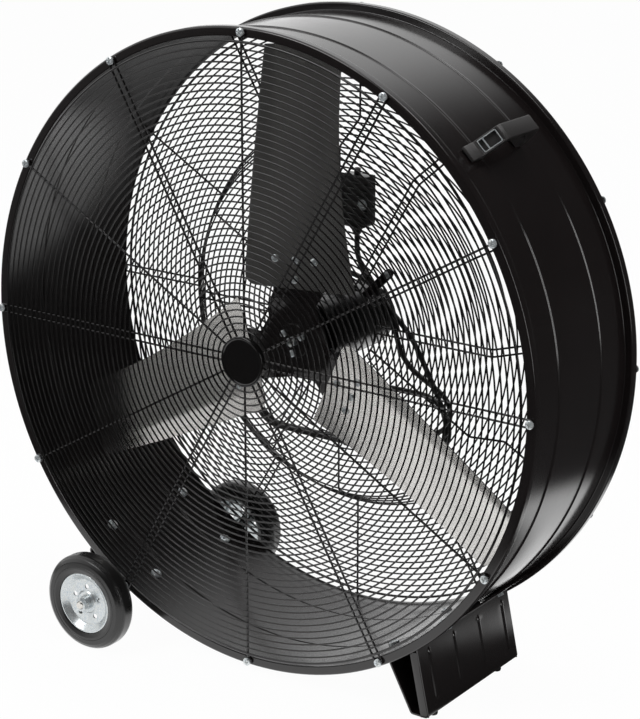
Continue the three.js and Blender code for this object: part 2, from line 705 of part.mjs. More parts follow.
function controlBox() {
  const cavity = plate(boxOutline(BOX_WALL), boxFront + BOX_WALL, boxRear + 1);
  const port = disc(BOX_PORT_R, 0, BOX_PORT_HEIGHT + 1, SHAFT_SIDES).rotateX(Math.PI / 2)
    .translate(BOX_CENTRE_X, (boxFront + boxRear) / 2, BOX_TOP - 1);
  const lid = boxOutline(0);
  addHole(lid, circle(BOX_CENTRE_X, KNOB_CENTRE_Z, KNOB_SPINDLE_R + RUNNING_GAP + 0.2, SHAFT_SIDES));
  const gland = turned([
    [0, 0],
    [GLAND_END_R, 0],
    [GLAND_END_R, GLAND_LENGTH / 3],
    [GLAND_TOP_R, (2 * GLAND_LENGTH) / 3],
    [GLAND_TOP_R, GLAND_LENGTH],
    [0, GLAND_LENGTH],
  ], SHAFT_SIDES).rotateX(Math.PI / 2)
    .translate(BOX_CENTRE_X, (boxFront + boxRear) / 2, BOX_BOTTOM - CONTACT_GAP - GLAND_LENGTH);
  const washerRear = recessFront - CONTACT_GAP;
  const screw = turned([
    [0, washerRear - 6],
    [SCREW_HEAD_R - 1, washerRear - 6],
    [SCREW_HEAD_R - 1, washerRear - 2],
    [BOX_WASHER_R, washerRear - 2],
    [BOX_WASHER_R, washerRear],
    [SCREW_SHANK_R, washerRear],
    [SCREW_SHANK_R, boxFront - CONTACT_GAP],
    [0, boxFront - CONTACT_GAP],
  ], SCREW_SIDES).translate(BOX_SCREW_X, 0, BOX_SCREW_Z);
  return [
    piece('control_box', joined(cut(plate(boxOutline(0), boxFront, boxRear), cavity), port), blackPlastic),
    piece('control_box_lid', plate(lid, boxRear + CONTACT_GAP, lidRear), blackPlastic),
    piece('cord_gland', gland, blackPlastic),
    piece('box_screw', screw, zincMetal),
  ];
}

// Drawn on its own spindle's axis; the grip points up when the knob is at its rest stop.
function speedKnob() {
  const front = lidRear + RUNNING_GAP;
  const body = turned([
    [0, boxFront + BOX_WALL + 4],
    [KNOB_SPINDLE_R, boxFront + BOX_WALL + 4],
    [KNOB_SPINDLE_R, front],
    [KNOB_R, front],
    [KNOB_R, front + KNOB_HEIGHT / 2],
    [0, front + KNOB_HEIGHT / 2],
  ], SHAFT_SIDES);
  const half = KNOB_GRIP_WIDTH / 2;
  const reach = KNOB_R - 2.5;
  const grip = plate(outline([[-half, -reach], [half, -reach], [half, reach - half], [0, reach],
    [-half, reach - half]]), front + KNOB_HEIGHT / 4, front + KNOB_HEIGHT);
  const knob = piece('speed_knob', joined(body, grip), blackPlastic);
  knob.position.set(BOX_CENTRE_X, 0, KNOB_CENTRE_Z);
  return knob;
}

// Handle -------------------------------------------------------------------------------------------

function carryHandle() {
  const base = drumOuterR + HANDLE_REST;
  const lengthways = new THREE.Matrix4().makeBasis(
    new THREE.Vector3(0, 1, 0), new THREE.Vector3(0, 0, 1), new THREE.Vector3(1, 0, 0));
  const across = (points, width) => new THREE.ExtrudeGeometry(outline(points),
    { depth: width, bevelEnabled: false }).translate(0, 0, -width / 2).applyMatrix4(lengthways);
  const grip = across([...HANDLE_OUTER, ...HANDLE_INNER].map(([y, rise]) => [y, base + rise]), HANDLE_WIDTH);
  const [from, to] = [HANDLE_OUTER[3], HANDLE_OUTER[4]];
  const rise = (y) => base + lerp(from[1], to[1], (y - from[0]) / (to[0] - from[0]));
  const [near, far] = [HANDLE_RECESS_FROM, HANDLE_RECESS_TO];
  const recess = across([
    [near, rise(near) - HANDLE_RECESS_DEPTH],
    [far, rise(far) - HANDLE_RECESS_DEPTH],
    [far, rise(far) + HANDLE_RECESS_DEPTH],
    [near, rise(near) + HANDLE_RECESS_DEPTH],
  ], HANDLE_RECESS_WIDTH);
  const handle = piece('carry_handle', cut(grip, recess), blackPlastic);
  handle.rotation.y = radians(HANDLE_ANGLE);
  return handle;
}

// Foot ---------------------------------------------------------------------------------------------

// A sheet folded along a line of corners: the line, then back at the sheet's thickness to its left.
function folded(line, thickness) {
  const corners = line.map(([x, z]) => new THREE.Vector2(x, z));
  const offset = corners.map((corner, i) => {
    const before = corner.clone().sub(corners[Math.max(0, i - 1)]).normalize();
    const after = corners[Math.min(corners.length - 1, i + 1)].clone().sub(corner).normalize();
    const into = before.lengthSq() > 0 ? before : after;
    const out = after.lengthSq() > 0 ? after : before;
    const normal = new THREE.Vector2(-into.y - out.y, into.x + out.x).normalize();
    const spread = normal.dot(new THREE.Vector2(-into.y, into.x));
    return corner.clone().addScaledVector(normal, thickness / spread);
  });
  return outline([...corners, ...offset.reverse()].map(({ x, y }) => [x, y]));
}

function foot() {
  const bottomZ = groundZ + FOOT_PAD_HEIGHT + CONTACT_GAP + FOOT_SHEET;
  const topRight = polar(FOOT_RIGHT_TOP_ANGLE, shellClearR);
  const bottomRight = [topRight[0] + FOOT_RIGHT_SPREAD, bottomZ];
  const bottomLeft = [polar(FOOT_LEFT_TOP_ANGLE, shellClearR)[0] + FOOT_LEFT_SPREAD, bottomZ];
  const line = [
    ...arc(shellClearR, FOOT_RIGHT_TOP_ANGLE - FOOT_FLANGE_ANGLE, FOOT_RIGHT_TOP_ANGLE, 2),
    bottomRight,
    bottomLeft,
    ...arc(shellClearR, FOOT_LEFT_TOP_ANGLE, FOOT_LEFT_TOP_ANGLE + FOOT_FLANGE_ANGLE, 2),
  ];
  const [front, rear] = [CONTACT_GAP - rimInner, rimInner - FOOT_REAR_INSET];
  const up = new THREE.Vector2(topRight[0] - bottomRight[0], topRight[1] - bottomRight[1]);
  const lipHeight = up.length() - FOOT_LIP_NOTCH;
  up.normalize();
  const corner = (along, inward) => [
    bottomRight[0] + up.x * along - up.y * inward, bottomRight[1] + up.y * along + up.x * inward];
  const root = FOOT_SHEET / 2; // each lip starts in the middle of the sheets that it grows from
  const lip = outline([
    corner(-root, -root), corner(lipHeight, -root), corner(lipHeight, FOOT_LIP_WIDTH), corner(-root, FOOT_LIP_WIDTH)]);
  const channel = joined(plate(folded(line, FOOT_SHEET), front, rear), plate(lip, front, front + FOOT_SHEET),
    plate(lip, rear - FOOT_SHEET, rear));
  const padY = [front + FOOT_PAD_PLACES[0], rear - FOOT_PAD_PLACES[1]];
  const pads = padY.map((y, i) => {
    const pad = piece(i === 0 ? 'foot_pad_front' : 'foot_pad_rear', turned([
      [0, 0],
      [FOOT_PAD_R - 1, 0],
      [FOOT_PAD_R, 1],
      [FOOT_PAD_R, FOOT_PAD_HEIGHT],
      [0, FOOT_PAD_HEIGHT],
    ], SHAFT_SIDES).rotateX(Math.PI / 2), blackRubber);
    pad.position.set(bottomRight[0] - FOOT_PAD_INSET, y, groundZ);
    return pad;
  });
  return [piece('foot_channel', channel, blackPaint), ...pads];
}

// Wheels and axle ----------------------------------------------------------------------------------

function bracketWalls() {
  const first = AXLE_ANGLE - THREE.MathUtils.radToDeg((AXLE_R + BRACKET_SIDE_COVER) / axleCircleR);
  return [first, first + BRACKET_WALL_SPAN];
}

const bracketTopR = axleCircleR + AXLE_R + BRACKET_COVER;
const bracketHalfLength = rimInner - BRACKET_END_GAP;

function axleBracket() {
  const [first, last] = bracketWalls();
  const line = [
    ...arc(shellClearR, first - BRACKET_FLANGE_ANGLE, first, 1),
    ...arc(bracketTopR, first, last, 3),
    ...arc(shellClearR, last, last + BRACKET_FLANGE_ANGLE, 1),
  ];
  return piece('axle_bracket', plate(folded(line, BRACKET_SHEET), -bracketHalfLength, bracketHalfLength),
    blackPaint);
}

// Plates that close the bracket's ends and hold the axle.
function axlePlates() {
  const walls = bracketWalls();
  const [first, last] = [walls[0] + AXLE_PLATE_PLAY, walls[1] - AXLE_PLATE_PLAY];
  const shape = outline([
    ...arc(bracketTopR - 2 * CONTACT_GAP, first, last, 3),
    ...arc(shellClearR + AXLE_PLATE_LIFT, last, first, 3),
  ]);
  const bore = boreR(AXLE_R, CONTACT_GAP, AXLE_SIDES);
  addHole(shape, circle(axleX, axleZ, bore, AXLE_SIDES));
  const end = bracketHalfLength - AXLE_PLATE_INSET;
  return [
    piece('axle_plate_front', plate(shape, -end, AXLE_PLATE_THICKNESS - end), blackPaint),
    piece('axle_plate_rear', plate(shape, end - AXLE_PLATE_THICKNESS, end), blackPaint),
  ];
}

function tyre() {
  const half = WHEEL_WIDTH / 2;
  const tread = WHEEL_R / Math.cos(Math.PI / WHEEL_SIDES);
  const seat = (RIM_R + CONTACT_GAP) / Math.cos(Math.PI / WHEEL_SIDES);
  return turned([
    [seat, -half + 2],
    [seat + 8, -half],
    [tread - 6, -half],
    [tread, -half / 2],
    [tread, half / 2],
    [tread - 6, half],
    [seat + 8, half],
    [seat, half - 2],
  ], WHEEL_SIDES).rotateY(Math.PI / WHEEL_SIDES);
}

// Pressed rim with a dished face on its -Y side, a hub tube and small round holes.
function wheelRim() {
  const half = WHEEL_WIDTH / 2;
  const face = RIM_EDGE_INSET - half;
  const dish = face + RIM_DISH_DEPTH;
  const bore = boreR(AXLE_R, RUNNING_GAP, RIM_SIDES);
  const shift = RIM_SHEET * Math.tan(Math.PI / 8); // the back of the cone, beside its front
  const solid = turned([
    [bore, -half],
    [WHEEL_HUB_R, -half],
    [WHEEL_HUB_R, dish],
    [RIM_DISH_R, dish],
    [RIM_CONE_R, face],
    [RIM_R, face],
    [RIM_R, -face],
    [RIM_R - RIM_SHEET, -face],
    [RIM_R - RIM_SHEET, face + RIM_SHEET],
    [RIM_CONE_R + shift, face + RIM_SHEET],
    [RIM_DISH_R + shift, dish + RIM_SHEET],
    [WHEEL_HUB_R, dish + RIM_SHEET],
    [WHEEL_HUB_R, half],
    [bore, half],
  ], RIM_SIDES);
  const holes = Array.from({ length: RIM_HOLE_COUNT }, (_, i) => {
    const [x, z] = polar((360 * i) / RIM_HOLE_COUNT, RIM_HOLE_CIRCLE_R);
    return disc(RIM_HOLE_R, -half, half, SCREW_SIDES).translate(x, 0, z);
  });
  return cut(solid, ...holes);
}

function hubNut() {
  const shape = outline(circle(0, 0, HUB_NUT_ACROSS_CORNERS_R, 6));
  addHole(shape, circle(0, 0, boreR(AXLE_R, CONTACT_GAP, AXLE_SIDES), AXLE_SIDES));
  return plate(shape, 0, HUB_NUT_THICKNESS);
}

function axleEnds() {
  const reach = WHEEL_WIDTH / 2 + CONTACT_GAP + HUB_NUT_THICKNESS + AXLE_END_REACH;
  return [frontWheelY - reach, rearWheelY + reach];
}

function wheel(name, y, side) {
  const group = new THREE.Group();
  const rim = piece(`${name}_wheel_rim`, wheelRim(), zincMetal);
  if (side > 0) rim.rotation.z = Math.PI;
  group.add(piece(`${name}_tyre`, tyre(), blackRubber), rim);
  group.position.set(axleX, y, axleZ);
  return group;
}

function runningGear() {
  const group = new THREE.Group();
  const [front, rear] = axleEnds();
  const axle = piece('axle', disc(AXLE_R, front, rear, AXLE_SIDES), zincMetal);
  axle.position.set(axleX, 0, axleZ);
  const frontNut = piece('front_hub_nut', hubNut(), zincMetal);
  frontNut.position.set(axleX, front + AXLE_END_REACH, axleZ);
  const rearNut = piece('rear_hub_nut', hubNut(), zincMetal);
  rearNut.position.set(axleX, rear - AXLE_END_REACH - HUB_NUT_THICKNESS, axleZ);
  group.add(axleBracket(), ...axlePlates(), axle, frontNut, rearNut);
  group.add(wheel('front', frontWheelY, -1), wheel('rear', rearWheelY, 1));
  return group;
}

// Mains lead ---------------------------------------------------------------------------------------

const glandExit = [BOX_CENTRE_X, (boxFront + boxRear) / 2, BOX_BOTTOM - 2 * CONTACT_GAP - GLAND_LENGTH];
const hankLastY = hankY + LAYER_PITCH;
const tailY = hankY + 2 * LAYER_PITCH;

// The hank is a long loop with round ends. Distance is along the loop from its right end, downwards.
function hankPlace(distance) {
  const quarter = (Math.PI * HANK_END_R) / 2;
  const run = 2 * HANK_HALF_RUN;
  const loop = 2 * run + 4 * quarter;
  const at = distance % loop;
  const [cx, cz] = HANK_CENTRE;
  const round = (side, angle) => [
    cx + side * HANK_HALF_RUN + HANK_END_R * Math.cos(angle), cz + HANK_END_R * Math.sin(angle)];
  if (at < quarter) return round(1, -at / HANK_END_R);
  if (at < quarter + run) return [cx + HANK_HALF_RUN - (at - quarter), cz - HANK_END_R];
  if (at < 3 * quarter + run) return round(-1, -Math.PI / 2 - (at - quarter - run) / HANK_END_R);
  if (at < 3 * quarter + 2 * run) return [cx - HANK_HALF_RUN + (at - 3 * quarter - run), cz + HANK_END_R];
  return round(1, (loop - at) / HANK_END_R);
}

function hankPoints() {
  const loop = 4 * HANK_HALF_RUN + 2 * Math.PI * HANK_END_R;
  const steps = HANK_TURNS * HANK_STEPS_PER_TURN;
  const points = [];
  for (let step = 0; step <= steps; step += 1) {
    const turns = step / HANK_STEPS_PER_TURN;
    const [x, z] = hankPlace(turns * loop);
    points.push(new THREE.Vector3(x, hankY + LAYER_PITCH * smoothstep(turns, ...HANK_CLIMB), z));
  }
  const [first, last] = [points[0].clone(), points.at(-1).clone()];
  first.z += CORD_D;
  last.z += CORD_D;
  return [first, ...points, last];
}

function cordTube(points, steps, sides) {
  const path = new THREE.CatmullRomCurve3(points, false, 'centripetal');
  const section = outline(circle(0, 0, CORD_D / 2, sides));
  return new THREE.ExtrudeGeometry(section, { steps, extrudePath: path, bevelEnabled: false });
}

// Least distance between the walls of the hank's turns, measured between points a turn's end apart.
function hankGap(points) {
  const path = new THREE.CatmullRomCurve3(points, false, 'centripetal').getSpacedPoints(400);
  const apart = Math.ceil((3 * CORD_D * 400) / path[0].distanceTo(path[1]) / 400);
  let least = Infinity;
  for (let i = 0; i < path.length; i += 1) {
    for (let j = i + apart; j < path.length; j += 1) {
      least = Math.min(least, path[i].distanceTo(path[j]));
    }
  }
  return least - CORD_D;
}

function plugSolid() {
  const body = turned([
    [0, 0],
    [CORD_D / 2 + 1, 0],
    [PLUG_R * 0.75, PLUG_LENGTH * 0.3],
    [PLUG_R, PLUG_LENGTH * 0.55],
    [PLUG_R, PLUG_LENGTH],
    [0, PLUG_LENGTH],
  ], SHAFT_SIDES);
  const pins = [-1, 1].map((side) => disc(PLUG_PIN_R, PLUG_LENGTH - 1, PLUG_LENGTH + PLUG_PIN_LENGTH,
    SCREW_SIDES).translate(0, 0, (side * PLUG_PIN_SPACING) / 2));
  return joined(body, ...pins);
}

function mainsLead() {
  const [hankStart, ...rest] = hankPoints();
  const hank = [hankStart, ...rest];
  const hankEnd = rest.at(-1);
  const [gx, gy, gz] = glandExit;
  const plugStart = [PLUG_MOUTH[0], tailY + PLUG_LIFT, PLUG_MOUTH[1]];
  const run = [
    [gx, gy, gz],
    [gx, gy, gz - 10],
    [25, 103, 108],
    [36, 100, 88],
    [51, hankY, 71],
    [68, hankY, 52],
    [88, hankY, 32],
    [109, hankY, 13],
    [126, hankY, -5],
    [143, hankY, -32],
    [159, hankY, -60],
    [174, hankY, -88],
    [hankStart.x - 4, hankY, hankStart.z + 22],
    [hankStart.x, hankY, hankStart.z + 7],
    [hankStart.x, hankY, hankStart.z + CONTACT_GAP],
  ];
  const tail = [
    [hankEnd.x, hankLastY, hankEnd.z + CONTACT_GAP],
    [hankEnd.x, hankLastY, hankEnd.z + 10],
    [-161, hankLastY, -106],
    [-143, hankLastY, -79],
    [-120, hankLastY, -53],
    [-101, hankLastY, -26],
    [-89, hankLastY, 4],
    [-75, hankLastY, 33],
    [-52, hankLastY, 57],
    [-22, hankLastY, 72],
    [10, hankLastY, 75],
    [40, hankLastY, 66],
    [66, hankLastY, 47],
    [84, hankLastY, 20],
    [93, hankLastY, -10],
    [104, hankLastY, -37],
    [121, hankLastY + 3, -58],
    [142, tailY - 2, -73],
    [162, tailY + 1, -85.5],
    [176, tailY + 3, -99],
    [181, tailY + 4.5, -118],
    [176, tailY + 5.5, -137],
    [162, plugStart[1], -151],
    [143, plugStart[1], plugStart[2]],
    [130, plugStart[1], plugStart[2]],
    [plugStart[0] + CONTACT_GAP, plugStart[1], plugStart[2]],
  ];
  const vectors = (points) => points.map(([x, y, z]) => new THREE.Vector3(x, y, z));
  console.log(`least gap between the hank's turns: ${hankGap(hank).toFixed(2)} mm`);
  const plug = piece('plug', plugSolid(), blackPlastic);
  plug.rotation.z = Math.PI / 2;
  plug.position.set(...plugStart);
  return [
    piece('cord_run', cordTube(vectors(run), 20, CORD_SIDES), blackRubber),
    piece('cord_hank', cordTube(hank, HANK_TURNS * HANK_STEPS_PER_TURN + 2, HANK_SIDES), blackRubber),
    piece('cord_tail', cordTube(vectors(tail), 30, CORD_SIDES), blackRubber),
    plug,
    cordTie(),
  ];
}

// Strap round the two layers of the hank's lower run.
function cordTie() {
  const clear = CORD_D / 2 + 0.6;
  const [x, z] = [HANK_CENTRE[0], HANK_CENTRE[1] - HANK_END_R];
  const section = (grow) => plate(outline([
    [x - TIE_WIDTH / 2 - grow, z - clear - TIE_THICKNESS + grow * TIE_THICKNESS],
    [x + TIE_WIDTH / 2 + grow, z - clear - TIE_THICKNESS + grow * TIE_THICKNESS],
    [x + TIE_WIDTH / 2 + grow, z + clear + TIE_THICKNESS - grow * TIE_THICKNESS],
    [x - TIE_WIDTH / 2 - grow, z + clear + TIE_THICKNESS - grow * TIE_THICKNESS],
  ]), hankY - clear - TIE_THICKNESS + grow * TIE_THICKNESS, hankLastY + clear + TIE_THICKNESS - grow * TIE_THICKNESS);
  return piece('cord_tie', cut(section(0), section(1)), blackPlastic);
}

// Assembly -----------------------------------------------------------------------------------------

const fan = new THREE.Group();
fan.add(
  piece('drum_shell', drumShell(), blackPaint),
  piece('front_guard', frontGuard(), blackWire),
  piece('rear_guard', rearGuard(), blackWire),
  ...guardScrews(),
  ...badge(),
  ...motor(),
  ...rotor(),
  piece('fan_hub', hub(), blackPaint),
  ...blades(),
  ...hubFastenings(),
  ...controlBox(),
  speedKnob(),
  carryHandle(),
  ...foot(),
  runningGear(),
  ...mainsLead(),
);
const [axleFront, axleRear] = axleEnds();
fan.position.set(0, -(axleFront + axleRear) / 2, -groundZ);

const drumFan = new THREE.Group();
drumFan.add(fan);
drumFan.updateMatrixWorld(true);

export default drumFan;
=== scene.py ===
import math

import bmesh
import bpy
from mathutils import Matrix, Vector


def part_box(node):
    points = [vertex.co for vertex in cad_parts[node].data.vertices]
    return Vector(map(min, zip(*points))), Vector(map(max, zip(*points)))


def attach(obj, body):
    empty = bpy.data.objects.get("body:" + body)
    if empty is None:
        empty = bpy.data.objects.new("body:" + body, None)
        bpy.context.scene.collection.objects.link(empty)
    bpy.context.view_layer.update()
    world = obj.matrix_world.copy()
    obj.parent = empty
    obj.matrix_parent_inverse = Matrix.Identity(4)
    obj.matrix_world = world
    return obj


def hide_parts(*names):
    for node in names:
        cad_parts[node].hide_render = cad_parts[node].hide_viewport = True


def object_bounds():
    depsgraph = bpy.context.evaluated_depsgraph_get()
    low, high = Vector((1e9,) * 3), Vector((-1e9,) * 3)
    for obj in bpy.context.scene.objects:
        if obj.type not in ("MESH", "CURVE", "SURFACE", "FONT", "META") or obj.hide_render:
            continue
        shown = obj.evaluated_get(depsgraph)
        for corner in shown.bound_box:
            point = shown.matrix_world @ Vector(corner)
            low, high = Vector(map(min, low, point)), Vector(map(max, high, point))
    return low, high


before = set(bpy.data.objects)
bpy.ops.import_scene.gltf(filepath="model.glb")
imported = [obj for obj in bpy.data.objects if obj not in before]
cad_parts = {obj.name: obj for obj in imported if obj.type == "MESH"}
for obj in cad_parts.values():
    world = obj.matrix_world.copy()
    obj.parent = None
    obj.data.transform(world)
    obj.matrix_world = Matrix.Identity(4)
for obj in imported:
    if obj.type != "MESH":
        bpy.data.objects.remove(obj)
cad_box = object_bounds()
MM = 0.001

# ------------------------
# Camera. A long lens a little above the fan, in front of it and to its right. Places in this
# file are given from the drum's centre: x to the right, y along the axis to the rear, z up.
# ------------------------
drum_low, drum_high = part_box("drum_shell")
centre = (drum_low + drum_high) / 2
LOOK = Vector((-0.5531, 0.7756, -0.3042))
UP = Vector((-0.1766, 0.2477, 0.9526))
CAMERA_PLACE = Vector((1.800, -2.483, 0.944))
LENS = 108.95
FAR_END = 100

camera = bpy.data.objects.new("camera", bpy.data.cameras.new("camera"))
bpy.context.scene.collection.objects.link(camera)
camera.data.lens = LENS
camera.matrix_world = Matrix((LOOK.cross(UP), UP, -LOOK)).transposed().to_4x4()
camera.location = centre + CAMERA_PLACE
camera.data.clip_end = FAR_END
bpy.context.scene.camera = camera


def at(x, y, z):
    """A place given in millimetres from the drum's centre."""
    return centre + Vector((x, y, z)) * MM


# ------------------------
# Mains lead. Round flexible PVC lead, 8 mm thick. It leaves the control box downwards, passes
# right of the motor into a hank of one and a half loops, goes round the motor and ends in a plug.
# ------------------------
CORD_D = 8
CORD_STEP = 5
LAYER_PITCH = 9.2
HANK_Y = 98
HANK_CENTRE = (10, -142)
HANK_HALF_RUN = 128
HANK_END_R = 50
HANK_TURNS = 1.5
HANK_STEPS = 72
HANK_CLIMB = (0.62, 0.88)


def smoothstep(value, low, high):
    share = min(1, max(0, (value - low) / (high - low)))
    return share * share * (3 - 2 * share)


def hank_place(distance):
    """A point of the hank's loop, at a distance from its right end along the lower run."""
    quarter = math.pi * HANK_END_R / 2
    run = 2 * HANK_HALF_RUN
    loop = 2 * run + 4 * quarter
    along = distance % loop
    cx, cz = HANK_CENTRE
    if along < quarter:
        side, angle = 1, -along / HANK_END_R
    elif along < quarter + run:
        return cx + HANK_HALF_RUN - (along - quarter), cz - HANK_END_R
    elif along < 3 * quarter + run:
        side, angle = -1, -math.pi / 2 - (along - quarter - run) / HANK_END_R
    elif along < 3 * quarter + 2 * run:
        return cx - HANK_HALF_RUN + (along - 3 * quarter - run), cz + HANK_END_R
    else:
        side, angle = 1, (loop - along) / HANK_END_R
    return cx + side * HANK_HALF_RUN + HANK_END_R * math.cos(angle), cz + HANK_END_R * math.sin(angle)


def hank_points():
    loop = 4 * HANK_HALF_RUN + 2 * math.pi * HANK_END_R
    points = []
    for step in range(int(HANK_TURNS * HANK_STEPS) + 1):
        turns = step / HANK_STEPS
        x, z = hank_place(turns * loop)
        points.append((x, HANK_Y + LAYER_PITCH * smoothstep(turns, *HANK_CLIMB), z))
    return points


def through(points, spacing):
    """A smooth line through the points, as points at most the spacing apart."""
    knots = [Vector(p) for p in points]
    line = []
    for i in range(len(knots) - 1):
        before = knots[i - 1] if i else knots[0] * 2 - knots[1]
        after = knots[i + 2] if i + 2 < len(knots) else knots[-1] * 2 - knots[-2]
        start, end = knots[i], knots[i + 1]
        steps = max(1, math.ceil((end - start).length / spacing))
        gaps = [max(1e-6, (b - a).length) ** 0.5 for a, b in ((before, start), (start, end), (end, after))]
        leave = (start - before) / gaps[0] - (end - before) / (gaps[0] + gaps[1]) + (end - start) / gaps[1]
        arrive = (end - start) / gaps[1] - (after - start) / (gaps[1] + gaps[2]) + (after - end) / gaps[2]
        for k in range(steps):
            t = k / steps
            line.append(
                start * (2 * t**3 - 3 * t**2 + 1)
                + leave * gaps[1] * (t**3 - 2 * t**2 + t)
                + end * (3 * t**2 - 2 * t**3)
                + arrive * gaps[1] * (t**3 - t**2)
            )
    return [*line, knots[-1]]


gland_low, gland_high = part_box("cord_gland")
gland_exit = (
    ((gland_low + gland_high) / 2 - centre).x / MM,
    ((gland_low + gland_high) / 2 - centre).y / MM,
    (gland_low - centre).z / MM,
)
tail_y = HANK_Y + 2 * LAYER_PITCH
hank_first, hank_last = hank_points()[0], hank_points()[-1]
plug_mouth = (118, tail_y + 6, -156)
cord_run = [
    gland_exit, (gland_exit[0], gland_exit[1], gland_exit[2] - 10), (25, 103, 108), (36, 100, 88),
    *[(x, HANK_Y, z) for x, z in ((51, 71), (68, 52), (88, 32), (109, 13), (126, -5), (143, -32), (159, -60),
                                  (174, -88), (184, -112))],
    (hank_first[0], HANK_Y, hank_first[2] + 15), (hank_first[0], HANK_Y, hank_first[2] + 8)]
cord_tail = [
    (hank_last[0], hank_last[1], hank_last[2] + 8), (hank_last[0], hank_last[1], hank_last[2] + 18),
    *[(x, hank_last[1], z) for x, z in (
        (-161, -106), (-143, -79), (-120, -53), (-101, -26), (-89, 4), (-75, 33), (-52, 57), (-22, 72),
        (10, 75), (40, 66), (66, 47), (84, 20), (93, -10), (104, -37))],
    (121, hank_last[1] + 3, -58), (142, tail_y - 2, -73), (162, tail_y + 1, -85.5), (176, tail_y + 3, -99),
    (181, tail_y + 4.5, -118), (176, tail_y + 5.5, -137), (162, plug_mouth[1], -151),
    (143, *plug_mouth[1:]), (130, *plug_mouth[1:]), plug_mouth]


def linear(code):
    """An sRGB hex colour as linear values with alpha."""
    values = [int(code[i : i + 2], 16) / 255 for i in (1, 3, 5)]
    return (*[v / 12.92 if v <= 0.04045 else ((v + 0.055) / 1.055) ** 2.4 for v in values], 1)


def material(name):
    """A new material and its node tree, with only the Principled shader and the output in it."""
    made = bpy.data.materials.new(name)
    made.use_nodes = True
    return made, made.node_tree


def set_inputs(tree, target, values):
    """Sets a node's inputs: values, or sockets to link."""
    for key, value in values.items():
        if isinstance(value, bpy.types.NodeSocket):
            tree.links.new(value, target.inputs[key])
        else:
            target.inputs[key].default_value = value


def node(tree, kind, settings=None, inputs=None):
    """Adds a node. settings are its own properties, inputs are values or sockets to link."""
    made = tree.nodes.new(kind)
    for key, value in (settings or {}).items():
        setattr(made, key, value)
    set_inputs(tree, made, inputs or {})
    return made


def shader(tree, **inputs):
    """Sets the Principled shader's inputs. _ stands for a space."""
    set_inputs(tree, tree.nodes["Principled BSDF"], {
        key.replace("_", " "): value for key, value in inputs.items()})


def own_place(tree):
    """A socket for a point's place in the piece's own axes, in metres."""
    return node(tree, "ShaderNodeTexCoord").outputs["Object"]


def noise(tree, scale, detail, place=None):
    """A soft noise over the piece, or over another place, as a socket."""
    return node(tree, "ShaderNodeTexNoise", {}, {
        "Vector": place or own_place(tree), "Scale": scale, "Detail": detail}).outputs["Fac"]


def blend(tree, share, *tones):
    """A colour between two tones, which are hex codes, linear values or sockets."""
    first, second = (linear(tone) if isinstance(tone, str) else tone for tone in tones)
    return node(tree, "ShaderNodeMix", {"data_type": "RGBA"}, {
        "Factor": share, "A": first, "B": second}).outputs["Result"]


def ranged(tree, value, low, high, start=0, end=1, soft=False):
    """A value that goes from low to high as another one goes from start to end."""
    return node(tree, "ShaderNodeMapRange", {"interpolation_type": "SMOOTHSTEP"} if soft else {}, {
        "Value": value, "From Min": start, "From Max": end, "To Min": low, "To Max": high}).outputs["Result"]


def relief(tree, height, strength, depth):
    """A normal socket for a fine relief, its depth in metres."""
    return node(tree, "ShaderNodeBump", {}, {
        "Height": height, "Strength": strength, "Distance": depth}).outputs["Normal"]


def clouded(name, tones, gloss, cloud, band=(0, 1), grain=None, metallic=0.0):
    """A material whose tone and roughness follow a cloud, a noise's (scale, detail), over a band of
    its values. A grain is (scale, detail, strength, depth in metres) of a relief."""
    made, tree = material(name)
    share = noise(tree, *cloud)
    shader(tree, Base_Color=blend(tree, share, *tones), Roughness=ranged(tree, share, *gloss, *band),
           Metallic=metallic)
    if grain:
        shader(tree, Normal=relief(tree, noise(tree, *grain[:2]), *grain[2:]))
    return made


def brighter(code, factor):
    """A hex colour's linear values, times a factor."""
    return (*[min(1, v * factor) for v in linear(code)[:3]], 1)


def add(name, data, finish, body="stand", stands_for=()):
    """Puts a mesh or curve in the scene as a piece that rides on a body, in its finish's slot. A
    finish's name has a number after a point where a CAD material has the name already."""
    made = bpy.data.objects.new(name, data)
    bpy.context.scene.collection.objects.link(made)
    data.name = name
    data.materials.append(finish)
    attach(made, body)
    if stands_for:
        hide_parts(*stands_for)
    return made


def wires(lines, unit=1, sides=2):
    """Curve data that draws each line as a round wire. A line is (points, closed, thickness), and a
    unit of thickness is so many millimetres."""
    data = bpy.data.curves.new("wires", "CURVE")
    data.dimensions = "3D"
    data.bevel_depth = unit / 2 * MM
    data.bevel_resolution = sides
    data.use_fill_caps = True
    for points, closed, thickness in lines:
        spline = data.splines.new("POLY")
        spline.points.add(len(points) - 1)
        for target, point in zip(spline.points, points):
            target.co = (*point, 1)
            target.radius = thickness
        spline.use_cyclic_u = closed
    return data


# Extruded PVC: smooth, slightly waxy, with faint waves from the die.
black_sheath = clouded("pvc_sheath", ("#121111", "#1d1b1b"), (0.42, 0.42), (260, 3),
                       grain=(260, 3, 0.12, 0.0003))
cord_line = [at(*p) for p in through([*cord_run, *hank_points(), *cord_tail], CORD_STEP)]
mains_lead = add("mains_lead", wires([(cord_line, False, 1)], CORD_D, 4), black_sheath,
                 stands_for=("cord_run", "cord_hank", "cord_tail"))


def baked(data, *modifiers):
    """Mesh data with modifiers applied. A modifier is (kind, settings)."""
    temporary = bpy.data.objects.new("temporary", data)
    bpy.context.scene.collection.objects.link(temporary)
    for kind, settings in modifiers:
        modifier = temporary.modifiers.new(kind.lower(), kind)
        for key, value in settings.items():
            setattr(modifier, key, value)
    evaluated = temporary.evaluated_get(bpy.context.evaluated_depsgraph_get())
    made = bpy.data.meshes.new_from_object(evaluated)
    bpy.data.objects.remove(temporary)
    return made


